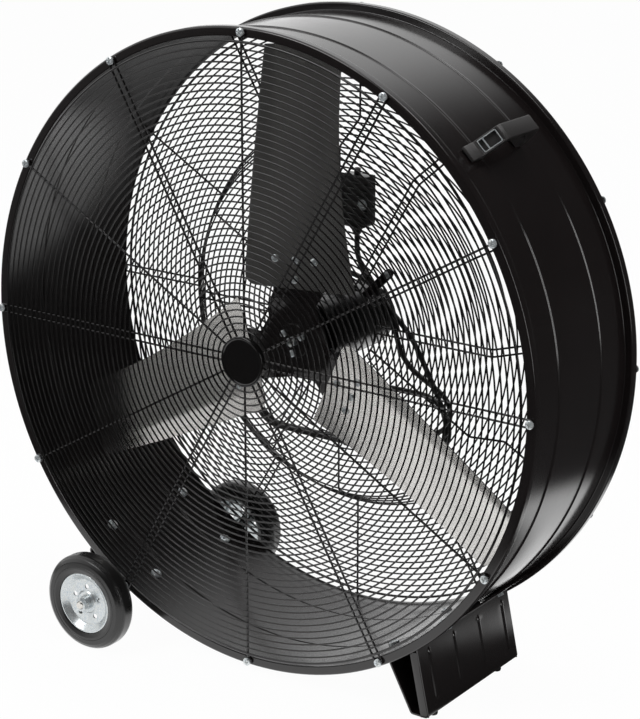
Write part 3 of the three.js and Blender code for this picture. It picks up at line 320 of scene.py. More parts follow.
def skin(shape, rings, count):
    """Faces between rings of vertices that each go once round. A ring of one vertex is a pole."""
    for first, second in zip(rings, rings[1:]):
        for i in range(count):
            j = (i + 1) % count
            corners = dict.fromkeys(ring[k % len(ring)] for ring, k in (
                (first, i), (first, j), (second, j), (second, i)))
            if len(corners) > 2:
                shape.faces.new(list(corners))


def turned(profile, place, segments=96, axis="Y"):
    """Mesh data turned about an axis through the place, from (radius, along) points in millimetres."""
    shape = bmesh.new()
    rings = []
    for r, along in profile:
        ring = []
        for i in range(segments if r > 1e-6 else 1):
            angle = 2 * math.pi * i / segments
            s, c = r * math.sin(angle), r * math.cos(angle)
            point = {"Y": (s, along, c), "Z": (c, s, along), "X": (along, c, s)}[axis]
            ring.append(shape.verts.new(place + Vector(point) * MM))
        rings.append(ring)
    skin(shape, rings, segments)
    return baked(closed_mesh(shape), ("WEIGHTED_NORMAL", {"keep_sharp": True}))


def closed_mesh(shape, smooth_angle=32):
    """Turns a bmesh into mesh data: doubles merged, faces outwards, smooth but for sharp edges."""
    bmesh.ops.remove_doubles(shape, verts=shape.verts, dist=1e-7)
    bmesh.ops.recalc_face_normals(shape, faces=shape.faces)
    data = bpy.data.meshes.new("sheet")
    shape.to_mesh(data)
    shape.free()
    data.polygons.foreach_set("use_smooth", [True] * len(data.polygons))
    data.set_sharp_from_angle(angle=math.radians(smooth_angle))
    return data


def cone(shape, matrix, foot_r, top_r, height, segments=24):
    """Adds a closed cone or rod to a bmesh, about the matrix's origin and along its z."""
    bmesh.ops.create_cone(shape, cap_ends=True, segments=segments, radius1=foot_r * MM, radius2=top_r * MM,
                          depth=height * MM, matrix=matrix)


def moulded_plastic(name, code, grain_mm=0.6, roughness=0.5):
    """Injection-moulded ABS or nylon: a fine spark-eroded grain, broad soft highlights."""
    return clouded(name, (code, brighter(code, 1.5)), (roughness - 0.07, roughness + 0.07), (18, 4),
                   grain=(1 / (grain_mm * MM), 2, 0.25, 0.0002))


black_plastic = moulded_plastic("black_abs", "#121111", 0.6, 0.36)
plug_place = at(*plug_mouth)
plug = add("plug_moulding", turned([
    (0, 0), (5, 0), (5.6, -2), (6.4, -9), (8.5, -14), (10.8, -20), (11.6, -24), (11, -26), (11.9, -28),
    (11.2, -30), (12, -32), (12, -43), (11.2, -44), (0, -44)], plug_place, 64, "X"), black_plastic,
    stands_for=("plug",))

# Cold-drawn bright steel: a fine grain and a sharp, slightly grey reflection.
drawn_steel = clouded("drawn_pin_steel", ("#a9a6a0", "#d2d0cc"), (0.18, 0.34), (900, 4), metallic=1.0)
PIN_SPACING = 19
plug_pins = bmesh.new()
for side in (-1, 1):
    for r0, x0, r1, x1 in ((2.4, -44, 2.4, -60), (2.4, -60, 1.4, -63)):
        middle = plug_place + Vector(((x0 + x1) / 2, 0, side * PIN_SPACING / 2)) * MM
        cone(plug_pins, Matrix.Translation(middle) @ Matrix.Rotation(math.pi / 2, 4, "Y"), r1, r0, x0 - x1)
pins = add("plug_pins", closed_mesh(plug_pins), drawn_steel)

# Cord tie: a loop of nylon strap round the two layers of the hank's lower run.
TIE_WIDTH = 6
TIE_THICKNESS = 1.2
TIE_STEPS = 40
tie_low, tie_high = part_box("cord_tie")
tie_middle = (tie_low + tie_high) / 2
tie_half = (tie_high - tie_low) / 2 - Vector((0, TIE_THICKNESS, TIE_THICKNESS)) * MM
tie_shape = bmesh.new()
tie_rings = []
for k in range(TIE_STEPS):
    angle = 2 * math.pi * k / TIE_STEPS
    shift = (tie_half.y - tie_half.z) * (1 if math.cos(angle) > 0 else -1)
    inner = Vector((0, shift + tie_half.z * math.cos(angle), tie_half.z * math.sin(angle)))
    outer = inner + inner.normalized() * TIE_THICKNESS * MM
    tie_rings.append([tie_shape.verts.new(tie_middle + Vector((side * TIE_WIDTH / 2 * MM, *edge.yz)))
                      for side, edge in ((-1, inner), (1, inner), (1, outer), (-1, outer))])
skin(tie_shape, [*tie_rings, tie_rings[0]], 4)
tie = add("nylon_tie", closed_mesh(tie_shape, 50), black_plastic, stands_for=("cord_tie",))


# ------------------------
# Drum. Steel sheet, 2 mm, rolled and seam welded, with a rolled edge at each end and two beads
# pressed outwards. Powder coated black, with a smooth gloss.
# ------------------------
DRUM_INNER_R = 461.5
DRUM_WALL = 2
DRUM_HALF_DEPTH = 142
RIM_R = 475.4
RIM_WIDTH = 15
BEAD_PLACE = 58.5
BEAD_WIDTH = 6
BEAD_HEIGHT = 1.8
GROOVE_WIDTH = 5
GROOVE_DEPTH = 1


def filleted(corners, closed=False, steps=5):
    """Rounds an outline's corners. A corner is (across, along, fillet radius)."""
    points = []
    for i, (x, y, radius) in enumerate(corners):
        here = Vector((x, y))
        if not radius or (not closed and i in (0, len(corners) - 1)):
            points.append((x, y))
            continue
        back = (Vector(corners[i - 1][:2]) - here).normalized()
        ahead = (Vector(corners[(i + 1) % len(corners)][:2]) - here).normalized()
        half = back.angle(ahead) / 2
        reach = radius / math.tan(half)
        middle = here + (back + ahead).normalized() * radius / math.sin(half)
        start, end = here + back * reach - middle, here + ahead * reach - middle
        for k in range(steps + 1):
            points.append(tuple(middle + start.slerp(end, k / steps).normalized() * radius))
    return points


def bead(r, y, rise, width, steps=8):
    """Points across a pressed bead, from one side of it to the other."""
    shares = [k / steps for k in range(steps + 1)]
    return [(r + rise * (0.5 + 0.5 * math.cos(math.pi * (2 * share - 1))), y + width * (share - 0.5), 0)
            for share in shares]


def powder_coat(name, code, roughness=0.17, peel_mm=2.4):
    """Baked powder coat: a deep gloss, with the faint orange peel that powder leaves as it flows."""
    return clouded(name, (code, brighter(code, 1.6)), (roughness - 0.03, roughness + 0.04), (9, 5),
                   (0.3, 0.7), (1 / (peel_mm * MM), 1, 0.04, 0.0002))


def end_roll(side):
    """Corners of the rolled edge, from the drum's inside to its outside wall."""
    end = side * DRUM_HALF_DEPTH
    return [
        (DRUM_INNER_R, end, 1.5),
        (RIM_R, end, 3.2),
        (RIM_R, end - side * RIM_WIDTH, 2.6),
        (DRUM_INNER_R + DRUM_WALL, end - side * RIM_WIDTH, 1.5),
    ]


coated_black = powder_coat("satin_black_powder_coat", "#100d0d")
drum_corners = [
    *end_roll(-1),
    *bead(DRUM_INNER_R + DRUM_WALL, -BEAD_PLACE, BEAD_HEIGHT, BEAD_WIDTH),
    *bead(DRUM_INNER_R + DRUM_WALL, BEAD_PLACE, BEAD_HEIGHT, BEAD_WIDTH),
    *reversed(end_roll(1)),
    *reversed(bead(DRUM_INNER_R, BEAD_PLACE, GROOVE_DEPTH, GROOVE_WIDTH)),
    *reversed(bead(DRUM_INNER_R, -BEAD_PLACE, GROOVE_DEPTH, GROOVE_WIDTH)),
]


def turned_ring(corners, place, segments=96, steps=5):
    """As turned, for the rounded corners of a profile that closes on itself away from the axis."""
    profile = filleted(corners, closed=True, steps=steps)
    return turned([*profile, profile[0]], place, segments)


add("rolled_drum", turned_ring(drum_corners, centre, 240), coated_black, stands_for=("drum_shell",))


# ------------------------
# Wire guards. Cold-drawn steel rod: rings welded to spokes that are single and double in turn,
# black enamelled. Each spoke ends in an eye under its screw. The rear guard steps in round the motor.
# ------------------------
RING_WIRE = 2.6
SPOKE_WIRE = 3.2
HOOP_WIRE = 4
RING_PITCH = 9.75
HOOP_R = 455.7
FRONT_INNER_RING_R = 46
SPOKE_COUNT = 12
DOUBLE_SPACING = 11
SCREW_CIRCLE_R = 469
EYE_CIRCLE_R = 467.5
EYE_R = 5.5
GUARD_SPOKE_Y = 143.8
RING_LAY = 2.0
STEP_OUTER_R = 303.5
STEP_INNER_R = 269.5
RECESS_Y = 90.8
REAR_INNER_RING_R = 66
STEP_RINGS = 4
RING_STEP = 2.4


def polar(angle, r, y):
    """A place at an angle clockwise from the top, seen from the front."""
    return r * math.sin(math.radians(angle)), y, r * math.cos(math.radians(angle))


def around(angle, r, y):
    """The same place in the scene."""
    return at(*polar(angle, r, y))


def guard_ring(r, y, thickness):
    count = max(48, int(r / RING_STEP))
    return [around(360 * k / count, r, y) for k in range(count)], True, thickness


def sideways(angle):
    """The way across a spoke at an angle."""
    return Vector((math.cos(math.radians(angle)), 0, -math.sin(math.radians(angle))))


def spoke(angle, offset, line):
    """A spoke's side: (r, y) points along it, moved sideways by the offset."""
    return [around(angle, r, y) + sideways(angle) * offset * MM for r, y in line]


def eye(angle, y, start, end, steps=14):
    """Part of the round end of a spoke, from one angle to another about the screw."""
    across, outward = sideways(angle), Vector(polar(angle, 1, 0))
    turns = [math.radians(start + (end - start) * k / steps) for k in range(steps + 1)]
    return [around(angle, EYE_CIRCLE_R, y) + (across * math.sin(t) + outward * math.cos(t)) * EYE_R * MM
            for t in turns]


def guard_spokes(line, y):
    lines = []
    for k in range(SPOKE_COUNT):
        angle = 360 * k / SPOKE_COUNT
        if k % 2:
            there, back = spoke(angle, -DOUBLE_SPACING / 2, line), spoke(angle, DOUBLE_SPACING / 2, line)
            lines.append(([*there, *eye(angle, y, -90, 90), *reversed(back)], False, SPOKE_WIRE))
        else:
            lines.append((spoke(angle, 0, line), False, SPOKE_WIRE))
            lines.append((eye(angle, y, 180, 540, 24)[:-1], True, SPOKE_WIRE))
    return lines


def spaced(first, last, pitch=RING_PITCH):
    """Values from first to last, both kept, about one pitch apart."""
    count = max(1, round(abs(last - first) / pitch))
    return [first + (last - first) * k / count for k in range(count + 1)]


# Dipped enamel over drawn wire: gloss black, uneven where it ran.
wire_enamel = clouded("dipped_black_enamel", ("#080707", "#121010"), (0.14, 0.26), (120, 3))
front_y = -GUARD_SPOKE_Y - RING_LAY
single_line = [(14, -GUARD_SPOKE_Y), (EYE_CIRCLE_R - EYE_R, -GUARD_SPOKE_Y)]
add("front_wire_guard", wires([
    guard_ring(HOOP_R, front_y, HOOP_WIRE),
    *[guard_ring(r, front_y, RING_WIRE) for r in spaced(HOOP_R, FRONT_INNER_RING_R)[1:]],
    *guard_spokes(single_line, -GUARD_SPOKE_Y)]), wire_enamel, stands_for=("front_guard",))

rear_line = filleted([
    (REAR_INNER_RING_R, RECESS_Y, 0),
    (STEP_INNER_R, RECESS_Y, 9),
    (STEP_OUTER_R, GUARD_SPOKE_Y, 9),
    (EYE_CIRCLE_R - EYE_R, GUARD_SPOKE_Y, 0),
])
step_rings = []
for k in range(1, STEP_RINGS + 1):
    share = k / (STEP_RINGS + 1)
    step_rings.append((STEP_INNER_R + (STEP_OUTER_R - STEP_INNER_R) * share + RING_LAY * 0.8,
                       RECESS_Y + (GUARD_SPOKE_Y - RECESS_Y) * share + RING_LAY * 0.5))
rear_rings = [
    *[(r, GUARD_SPOKE_Y + RING_LAY) for r in spaced(HOOP_R, STEP_OUTER_R + 1)[1:]],
    *step_rings,
    *[(r, RECESS_Y + RING_LAY) for r in spaced(STEP_INNER_R - 1, REAR_INNER_RING_R)],
]
add("rear_wire_guard", wires([
    guard_ring(HOOP_R, GUARD_SPOKE_Y + RING_LAY, HOOP_WIRE),
    *[guard_ring(r, y, RING_WIRE) for r, y in rear_rings],
    *guard_spokes(rear_line, GUARD_SPOKE_Y)]), wire_enamel, stands_for=("rear_guard",))


# ------------------------
# Guard screws. Twelve pan-head cross-recess machine screws on each face, bright zinc plated,
# through the spokes' eyes into the rolled edge.
# ------------------------
SCREW_HEAD_R = 6
SCREW_HEAD_HEIGHT = 3.6
SCREW_FOOT_DEPTH = 3.3
DOME = 0.42
CROSS_LENGTH = 0.5
CROSS_WIDTH = 0.11


def facing(place, outward):
    """A matrix at the place with its z outward."""
    return Matrix.Translation(place) @ Vector((0, 0, 1)).rotation_difference(
        Vector(outward)).to_matrix().to_4x4()


def screw_head(shape, place, outward, radius=SCREW_HEAD_R, height=SCREW_HEAD_HEIGHT, sides=40, rings=14):
    """Adds a domed head to a bmesh, its foot at the place. Its recess is a cross of two bars with
    sloping sides, half the head deep."""
    move = facing(place, outward)

    def bar(along, across):
        return max(abs(along) / CROSS_LENGTH - 0.1, abs(across) / CROSS_WIDTH)

    def level(x, y):
        top = height * (1 - DOME * (math.hypot(x, y) / radius)**2.4)
        return top - 0.5 * height * max(0, min(1, 1.6 - min(bar(x, y), bar(y, x)) / radius))

    circle = [(math.cos(a), math.sin(a)) for a in (2 * math.pi * i / sides for i in range(sides))]
    levels = [[(0, 0, level(0, 0))]]
    for r in (radius * k / rings for k in range(1, rings + 1)):
        levels.append([(r * c, r * s, level(r * c, r * s)) for c, s in circle])
    levels += [[(radius * c, radius * s, 0) for c, s in circle], [(0, 0, 0)]]
    skin(shape, [[shape.verts.new(move @ (Vector(p) * MM)) for p in ring] for ring in levels], sides)


def bright_zinc(name, code="#c3c7ca", roughness=0.24):
    """Zinc plate with clear passivation: silver with a faint blue and straw cloudiness. The
    passivated film scatters some of the light."""
    made, tree = material(name)
    cloud = noise(tree, 90, 5)
    spangle = node(tree, "ShaderNodeTexVoronoi", {}, {"Vector": own_place(tree), "Scale": 420})
    tone = blend(tree, spangle.outputs["Distance"], blend(tree, cloud, code, "#d9d8cf"), "#aab3ba")
    shader(tree, Base_Color=tone, Metallic=0.65,
           Roughness=ranged(tree, cloud, roughness - 0.06, roughness + 0.08, 0.3, 0.7))
    return made


zinc_plate = bright_zinc("bright_zinc_plate")


def fasteners(name, parts, body="stand", stands_for=()):
    """A zinc plated piece. A part is a function that adds to a bmesh, and what it is given."""
    shape = bmesh.new()
    for make, *given in parts:
        make(shape, *given)
    return add(name, closed_mesh(shape), zinc_plate, body, stands_for)


for k in range(SPOKE_COUNT):
    foot_y = (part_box(f"guard_screw_{k + 1}")[1] - centre).y / MM - SCREW_FOOT_DEPTH
    fasteners(f"front_guard_screw_{k + 1}", [
        (screw_head, around(360 * k / SPOKE_COUNT, SCREW_CIRCLE_R, foot_y), (0, -1, 0))],
        stands_for=(f"guard_screw_{k + 1}",))
fasteners("rear_guard_screws", [
    (screw_head, around(360 * k / SPOKE_COUNT, SCREW_CIRCLE_R, GUARD_SPOKE_Y + SPOKE_WIRE / 2), (0, 1, 0))
    for k in range(SPOKE_COUNT)])


# ------------------------
# Centre badge. A moulded gloss black ABS cap with a raised rim, clipped over the spokes' inner
# ends from the front, with a pressed steel plate behind them. Its face is bare.
# ------------------------
BADGE_R = 37
BADGE_FRONT = -151.6
BADGE_REAR = -145.6
badge_black = moulded_plastic("gloss_black_abs", "#080707", 1.2, 0.16)
add("badge_cap", turned(filleted([
    (0, BADGE_FRONT + 1.3, 0), (BADGE_R - 4.2, BADGE_FRONT + 1.6, 1), (BADGE_R - 3, BADGE_FRONT + 0.1, 0.6),
    (BADGE_R, BADGE_FRONT, 1.8), (BADGE_R, BADGE_REAR, 0.3), (0, BADGE_REAR, 0)]), centre, 128), badge_black,
    stands_for=("centre_badge",))
PLATE_R = 34
PLATE_FRONT = -142
add("badge_backing", turned(filleted([
    (0, PLATE_FRONT, 0), (PLATE_R, PLATE_FRONT, 0.6), (PLATE_R, PLATE_FRONT + 3, 1.4),
    (26, PLATE_FRONT + 3, 2), (24, PLATE_FRONT + 1.6, 2), (0, PLATE_FRONT + 1.6, 0)]), centre, 96),
    coated_black, stands_for=("badge_plate",))


# ------------------------
# Motor. Totally enclosed: a rolled steel casing between two pressed end shields held by four
# through bolts, on a flat ring with four lugs that is screwed to the recessed rear guard.
# ------------------------
MOTOR_R = 51.5
MOTOR_FRONT = 9
MOTOR_REAR = 165
SHIELD = 6
CASING_BEAD = 1.2
CASING_WALL = 3.5
END_GAP = 0.3
THROUGH_BOLT_CIRCLE_R = 47


def flat_sheet(outlines, thickness, matrix, edge=0.4):
    """Mesh data of a flat sheet cut to outlines, holes among them, with broken edges.
    The outlines lie in the matrix's own x-y plane, and the sheet is thick about it."""
    flat = bpy.data.curves.new("outline", "CURVE")
    flat.dimensions = "2D"
    flat.fill_mode = "BOTH"
    flat.extrude = (thickness / 2 - edge) * MM
    flat.bevel_depth = edge * MM
    flat.bevel_resolution = 2
    flat.offset = -edge * MM
    for points in outlines:
        spline = flat.splines.new("POLY")
        spline.points.add(len(points) - 1)
        for target, (x, y) in zip(spline.points, points):
            target.co = (x * MM, y * MM, 0, 1)
        spline.use_cyclic_u = True
    made = baked(flat)
    made.transform(matrix)
    shape = bmesh.new()
    shape.from_mesh(made)
    bpy.data.meshes.remove(made)
    return closed_mesh(shape)


UPRIGHT = Matrix.Rotation(math.pi / 2, 4, "X")


def upright(y):
    """The drum's X-Z plane at a level along its axis, as a matrix for flat sheets."""
    return Matrix.Translation(at(0, y, 0)) @ UPRIGHT


def round_outline(x, z, r, count=48):
    return [(x + r * math.cos(2 * math.pi * k / count), z + r * math.sin(2 * math.pi * k / count))
            for k in range(count)]


motor_black = powder_coat("stoved_black_enamel", "#0c0b0b", 0.22, 1.6)


def casing_end(face, side):
    """Corners of the casing's outside from one end, past a rolled groove, in along the axis."""
    return [(r, face + side * along, fillet) for r, along, fillet in (
        (MOTOR_R, END_GAP, 0.6), (MOTOR_R, 12, 1), (MOTOR_R - CASING_BEAD, 14, 1), (MOTOR_R, 16, 1))]


casing_front, casing_rear = MOTOR_FRONT + SHIELD, MOTOR_REAR - SHIELD
add("motor_barrel", turned_ring([
    *casing_end(casing_front, 1), *reversed(casing_end(casing_rear, -1)),
    (MOTOR_R - CASING_WALL, casing_rear - END_GAP, 0), (MOTOR_R - CASING_WALL, casing_front + END_GAP, 0)],
    centre, 128), motor_black, stands_for=("motor_casing",))


def end_shield(face, side):
    """Corners of an end shield: a boss round the shaft, a dished web and a rounded edge."""
    return [(r, face + side * along, fillet) for r, along, fillet in (
        (6, 0.2, 0.5), (20, 0.2, 2), (22, 2.4, 2), (41, 3, 3), (45, 0.8, 2.5), (MOTOR_R, 1.2, 3.4),
        (MOTOR_R, SHIELD, 0), (6, SHIELD, 0))]


for end, face, side in (("front", MOTOR_FRONT, 1), ("rear", MOTOR_REAR, -1)):
    name = f"motor_{end}_shield"
    add(name, turned_ring(end_shield(face, side), centre, 128), motor_black,
        stands_for=(f"motor_{end}_cover",))
    fasteners(f"{name}_bolts", [
        (screw_head, around(90 * k + 20, THROUGH_BOLT_CIRCLE_R, face + side * 1.2), (0, -side, 0), 3.6, 2.6)
        for k in range(4)])

MOUNT_OUTER_R = 67.2
MOUNT_INNER_R = 52.2
MOUNT_SHEET = 3
LUG_REACH = 136
LUG_WIDTH = 14
LUG_SCREW_R = 127
LUG_HOLE_R = 3.2
MOUNT_Y = 87.5
lug_angles = [45 + 90 * k for k in range(4)]


def flat_polar(angle, r):
    """A point (x, z) at an angle clockwise from the top, seen from the front."""
    x, _, z = polar(angle, r, 0)
    return x, z


mount_corners = []
for lug in lug_angles:
    mount_corners += [(*flat_polar(lug - 78 + 66 * turn / 8, MOUNT_OUTER_R), 0) for turn in range(9)]
    along, across = Vector(flat_polar(lug, 1)), Vector(flat_polar(lug + 90, 1))
    for r, side, fillet in ((MOUNT_OUTER_R - 1, -1, 8), (LUG_REACH, -1, 6), (LUG_REACH, 1, 6),
                            (MOUNT_OUTER_R - 1, 1, 8)):
        mount_corners.append((*(along * r + across * side * LUG_WIDTH / 2), fillet))
add("motor_mount_ring", flat_sheet([
    filleted(mount_corners, closed=True), round_outline(0, 0, MOUNT_INNER_R, 96),
    *[round_outline(*flat_polar(lug, LUG_SCREW_R), LUG_HOLE_R, 24) for lug in lug_angles]],
    MOUNT_SHEET, upright(MOUNT_Y)), coated_black, stands_for=("motor_mount",))
fasteners("motor_mount_screws", [
    (screw_head, around(lug, LUG_SCREW_R, MOUNT_Y - MOUNT_SHEET / 2), (0, -1, 0), 5.2, 3.4)
    for lug in lug_angles])


def lamination_steel(name):
    """Stacked silicon steel: dark blue-grey, with the joints between the sheets, drawn 1 mm apart."""
    made, tree = material(name)
    stack = node(tree, "ShaderNodeTexWave", {"bands_direction": "Y"}, {
        "Vector": own_place(tree), "Scale": 1000 / math.pi / 2, "Distortion": 0.4}).outputs["Fac"]
    shader(tree, Base_Color=blend(tree, stack, "#3b3d42", "#6d7076"), Normal=relief(tree, stack, 0.3, 0.0002),
           Metallic=1.0, Roughness=0.45)
    return made


laminations = lamination_steel("stacked_lamination_steel")
for name in ("stator_core", "rotor_core"):
    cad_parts[name].material_slots[0].material = laminations
for name in ("front_bearing", "rear_bearing", "motor_shaft"):
    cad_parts[name].material_slots[0].material = drawn_steel


# ------------------------
# Blades. Three pressed sheets of mill-finish aluminium, 1.6 mm, each folded along its leading
# edge and bolted to the front of a spider arm. They turn clockwise, seen from the front.
# ------------------------
BLADE_ROOT = 80
BLADE_TIP_R = 437
BLADE_CORNER_R = 18
BLADE_SHEET = 1.6
BLADE_SPAN = (90, 360)
FRONT_EDGE = ((-72.8, -35.6, -2.7), (-46.4, -40.9, 0))
FOLD_LINE = ((-41.8, -23.0, 2.7), (-38.3, -35.7, 3.4))
REAR_EDGE = ((94.4, 81.2, -12.9), (-7.2, -17.9, -4.4))
FOLD_SOFTNESS = 5
REARWARD = Vector((0, 1, 0))
BLADE_BOLTS = ((-26, 123.5), (5, 123.5), (34, 123.5), (4, 94))
BLADE_ROW_SHARES = (
    0, 0.004, 0.012, 0.025, 0.04, *[0.06 + 0.87 * k / 34 for k in range(35)], 0.95, 0.965, 0.98, 0.99, 1)
BLADE_STEPS = (6, 8, 24)
FOLD_REACH = 10


def line_value(line, z):
    """An edge's value at a height above the axis, from its root, tip and bow."""
    root, tip, bow = line
    t = (z - BLADE_SPAN[0]) / BLADE_SPAN[1]
    return root + (tip - root) * t + bow * 4 * t * (1 - t)


def blade_y(x, z):
    """Front face of the upright blade, with the fold softened over its bend radius."""
    (x0, y0), (x1, y1), (x2, y2) = [[line_value(line, z) for line in edge] for edge in (
        FRONT_EDGE, FOLD_LINE, REAR_EDGE)]
    before, after = (y1 - y0) / (x1 - x0), (y2 - y1) / (x2 - x1)
    d = x - x1
    return y1 + (before + after) / 2 * d + (after - before) / 2 * math.hypot(d, FOLD_SOFTNESS)


def corner_inset(distance):
    rest = max(0, BLADE_CORNER_R - distance)
    return BLADE_CORNER_R - math.sqrt(BLADE_CORNER_R**2 - rest**2)


def grid_mesh(rows, thickness, side=None, closed_rows=False):
    """Closed sheet from rows of points on one face, thickened to a side or else along its normals."""
    shape = bmesh.new()
    front = [[shape.verts.new(p) for p in row] for row in rows]
    count = len(rows[0])
    cells = [(i, j, (j + 1) % count) for i in range(len(rows) - 1)
             for j in range(count if closed_rows else count - 1)]
    for i, j, k in cells:
        shape.faces.new((front[i][j], front[i][k], front[i + 1][k], front[i + 1][j]))
    shape.normal_update()
    back = [[shape.verts.new(v.co + (side or v.normal) * thickness * MM) for v in row] for row in front]
    for i, j, k in cells:
        shape.faces.new((back[i + 1][j], back[i + 1][k], back[i][k], back[i][j]))
    edges = [(front[i][j], front[i][k], back[i][k], back[i][j]) for i, j, k in cells if i == 0]
    edges += [(front[i + 1][k], front[i + 1][j], back[i + 1][j], back[i + 1][k])
              for i, j, k in cells if i == len(rows) - 2]
    if not closed_rows:
        for i in range(len(rows) - 1):
            edges.append((front[i + 1][0], front[i][0], back[i][0], back[i + 1][0]))
            edges.append((front[i][-1], front[i + 1][-1], back[i + 1][-1], back[i][-1]))
    for corners in edges:
        shape.faces.new(corners)
    return closed_mesh(shape, 40)


def blade_rows():
    rows = []
    for share in BLADE_ROW_SHARES:
        def height(x):
            return BLADE_ROOT + (math.sqrt(BLADE_TIP_R**2 - x**2) - BLADE_ROOT) * share

        middle = height(0)
        left = line_value(FRONT_EDGE[0], middle) + corner_inset(middle - BLADE_ROOT)
        fold = line_value(FOLD_LINE[0], middle)
        right = line_value(REAR_EDGE[0], middle) - corner_inset(BLADE_TIP_R - middle)
        stations = (left, fold - FOLD_REACH, fold + FOLD_REACH, right)
        across = [start + (end - start) * k / steps
                  for start, end, steps in zip(stations, stations[1:], BLADE_STEPS) for k in range(steps)]
        rows.append([Vector((x, blade_y(x, height(x)), height(x))) * MM for x in (*across, right)])
    return rows


def mill_aluminium(name):
    """Rolled aluminium sheet: a satin sheen drawn out along the blade by the rolling lines."""
    made, tree = material(name)
    drawn_out = node(tree, "ShaderNodeMapping", {}, {"Vector": own_place(tree), "Scale": (1, 1, 0.03)})
    lines = noise(tree, 300, 2, drawn_out.outputs["Vector"])
    shader(tree, Base_Color=blend(tree, noise(tree, 14, 6), "#c9c7c4", "#d8d6d3"), Metallic=1.0,
           Normal=relief(tree, lines, 0.015, 0.0001), Roughness=ranged(tree, lines, 0.16, 0.28))
    return made


def blade_bolt(shape, x, z):
    """Adds a bolt head that lies flat on the blade's face to a bmesh."""
    face = Vector((blade_y(x + 1, z) - blade_y(x - 1, z), -2, blade_y(x, z + 1) - blade_y(x, z - 1)))
    screw_head(shape, Vector((x, blade_y(x, z), z)) * MM, face.normalized(), 5.6, 3.4)


mill_finish = mill_aluminium("mill_finish_aluminium")
blade_points = blade_rows()
for k in range(3):
    pieces = [
        add(f"pressed_blade_{k + 1}", grid_mesh(blade_points, BLADE_SHEET, REARWARD),
            mill_finish, "fan", (f"blade_{k + 1}",)),
        fasteners(f"blade_bolts_{k + 1}", [(blade_bolt, *place) for place in BLADE_BOLTS], "fan")]
    for piece in pieces:
        piece.matrix_world = Matrix.Translation(centre) @ Matrix.Rotation(2 * math.pi * k / 3, 4, "Y")


# ------------------------
# Spider and hub. A 3 mm steel pressing with three pitched arms, welded to a turned sleeve on the
# motor's shaft. A washer and a nut hold it there, with three bolts through the washer.
# ------------------------
SPIDER_FRONT = -23.7
SPIDER_SHEET = 3
BLADE_SEAT = 3
SLEEVE_R = 14
SLEEVE_REAR = 5
WASHER_R = 26
SHAFT_R = 5
HUB_BOLT_CIRCLE_R = 18.5
HUB_BOLT_R = 3
HUB_FACE_GAP = 0.3
WASHER_SHEET = 3
BORE_R = SHAFT_R + 0.4
HUB_R = 10
PITCH_FROM, PITCH_TO = 46, 74
SPIDER_SHARES = (0, 0.1, 0.2, 0.3, 0.36, 0.42, 0.48, 0.54, 0.6, 0.68, 0.76, 0.84, 0.92, 0.97, 1)
ARM_OUTLINE = ((-48.5, 28, 18), (-36, 60, 12), (-30, 76, 14), (-42, 112, 20), (-42, 136, 9), (4, 141, 12),
               (50, 134, 9), (48, 104, 20), (47, 78, 14), (32, 58, 16))


def turned_point(x, z, angle):
    """A point moved clockwise about the axis, seen from the front."""
    s, c = math.sin(math.radians(angle)), math.cos(math.radians(angle))
    return x * c + z * s, z * c - x * s


spider_loop = filleted([(*turned_point(x, z, 120 * arm), fillet) for arm in range(3)
                        for x, z, fillet in ARM_OUTLINE], closed=True, steps=6)
spider_rows = []
for share in SPIDER_SHARES:
    row = []
    for x, z in spider_loop:
        reach = math.hypot(x, z)
        scale = (HUB_R + (reach - HUB_R) * share) / reach
        bearing = math.degrees(math.atan2(x, z)) % 360
        arm = round((bearing - 2) / 120) % 3
        local_x, local_z = turned_point(x * scale, z * scale, -120 * arm)
        pitch = smoothstep(math.hypot(local_x, local_z), PITCH_FROM, PITCH_TO)
        seat = blade_y(local_x, local_z) + BLADE_SEAT
        row.append(at(x * scale, SPIDER_FRONT + (seat - SPIDER_FRONT) * pitch, z * scale))
    spider_rows.append(row)
add("pressed_spider", grid_mesh(spider_rows, SPIDER_SHEET, REARWARD, closed_rows=True),
    coated_black, "fan", ("fan_hub",))
add("spider_sleeve", turned_ring([
    (BORE_R, SPIDER_FRONT + 1, 0), (SLEEVE_R - 3, SPIDER_FRONT + 1, 0), (SLEEVE_R - 3, SPIDER_FRONT + 3, 0),
    (SLEEVE_R, SPIDER_FRONT + 5, 1), (SLEEVE_R, SLEEVE_REAR, 1), (BORE_R, SLEEVE_REAR, 0.5)], centre, 64),
    coated_black, "fan")
washer_rear = SPIDER_FRONT - HUB_FACE_GAP
washer_front = washer_rear - WASHER_SHEET
add("spider_washer", turned_ring([
    (BORE_R, washer_front, 0.4), (WASHER_R, washer_front, 0.8), (WASHER_R, washer_rear, 0.4),
    (BORE_R, washer_rear, 0.4)], centre, 96), coated_black, "fan", ("hub_washer",))


def hexagon(shape, place, outward, radius, height, bore=0, sides=48):
    """Adds a chamfered hexagon head, or with a bore a nut, to a bmesh. Its foot is at the place."""
    move = facing(place, outward)
    flat = radius * math.cos(math.pi / 6)
    angles = [2 * math.pi * i / sides for i in range(sides)]
    edges = [flat / math.cos((a + math.pi / 6) % (math.pi / 3) - math.pi / 6) for a in angles]
    crown = flat * 0.94
    levels = [[(crown, height)] * sides, [(r * 0.995, height - (r * 0.995 - crown) * 0.5) for r in edges],
              [(r, 0) for r in edges]]
    if bore:
        mouth = [(bore + 0.5, height)] * sides
        levels = [mouth, *levels, [(bore, 0)] * sides, [(bore, height - 0.5)] * sides, mouth]
    else:
        levels = [[(0, height)], *levels, [(0, 0)]]
    skin(shape, [[shape.verts.new(move @ (Vector((r * math.cos(a), r * math.sin(a), z)) * MM))
                  for (r, z), a in zip(level, angles)] for level in levels], sides)


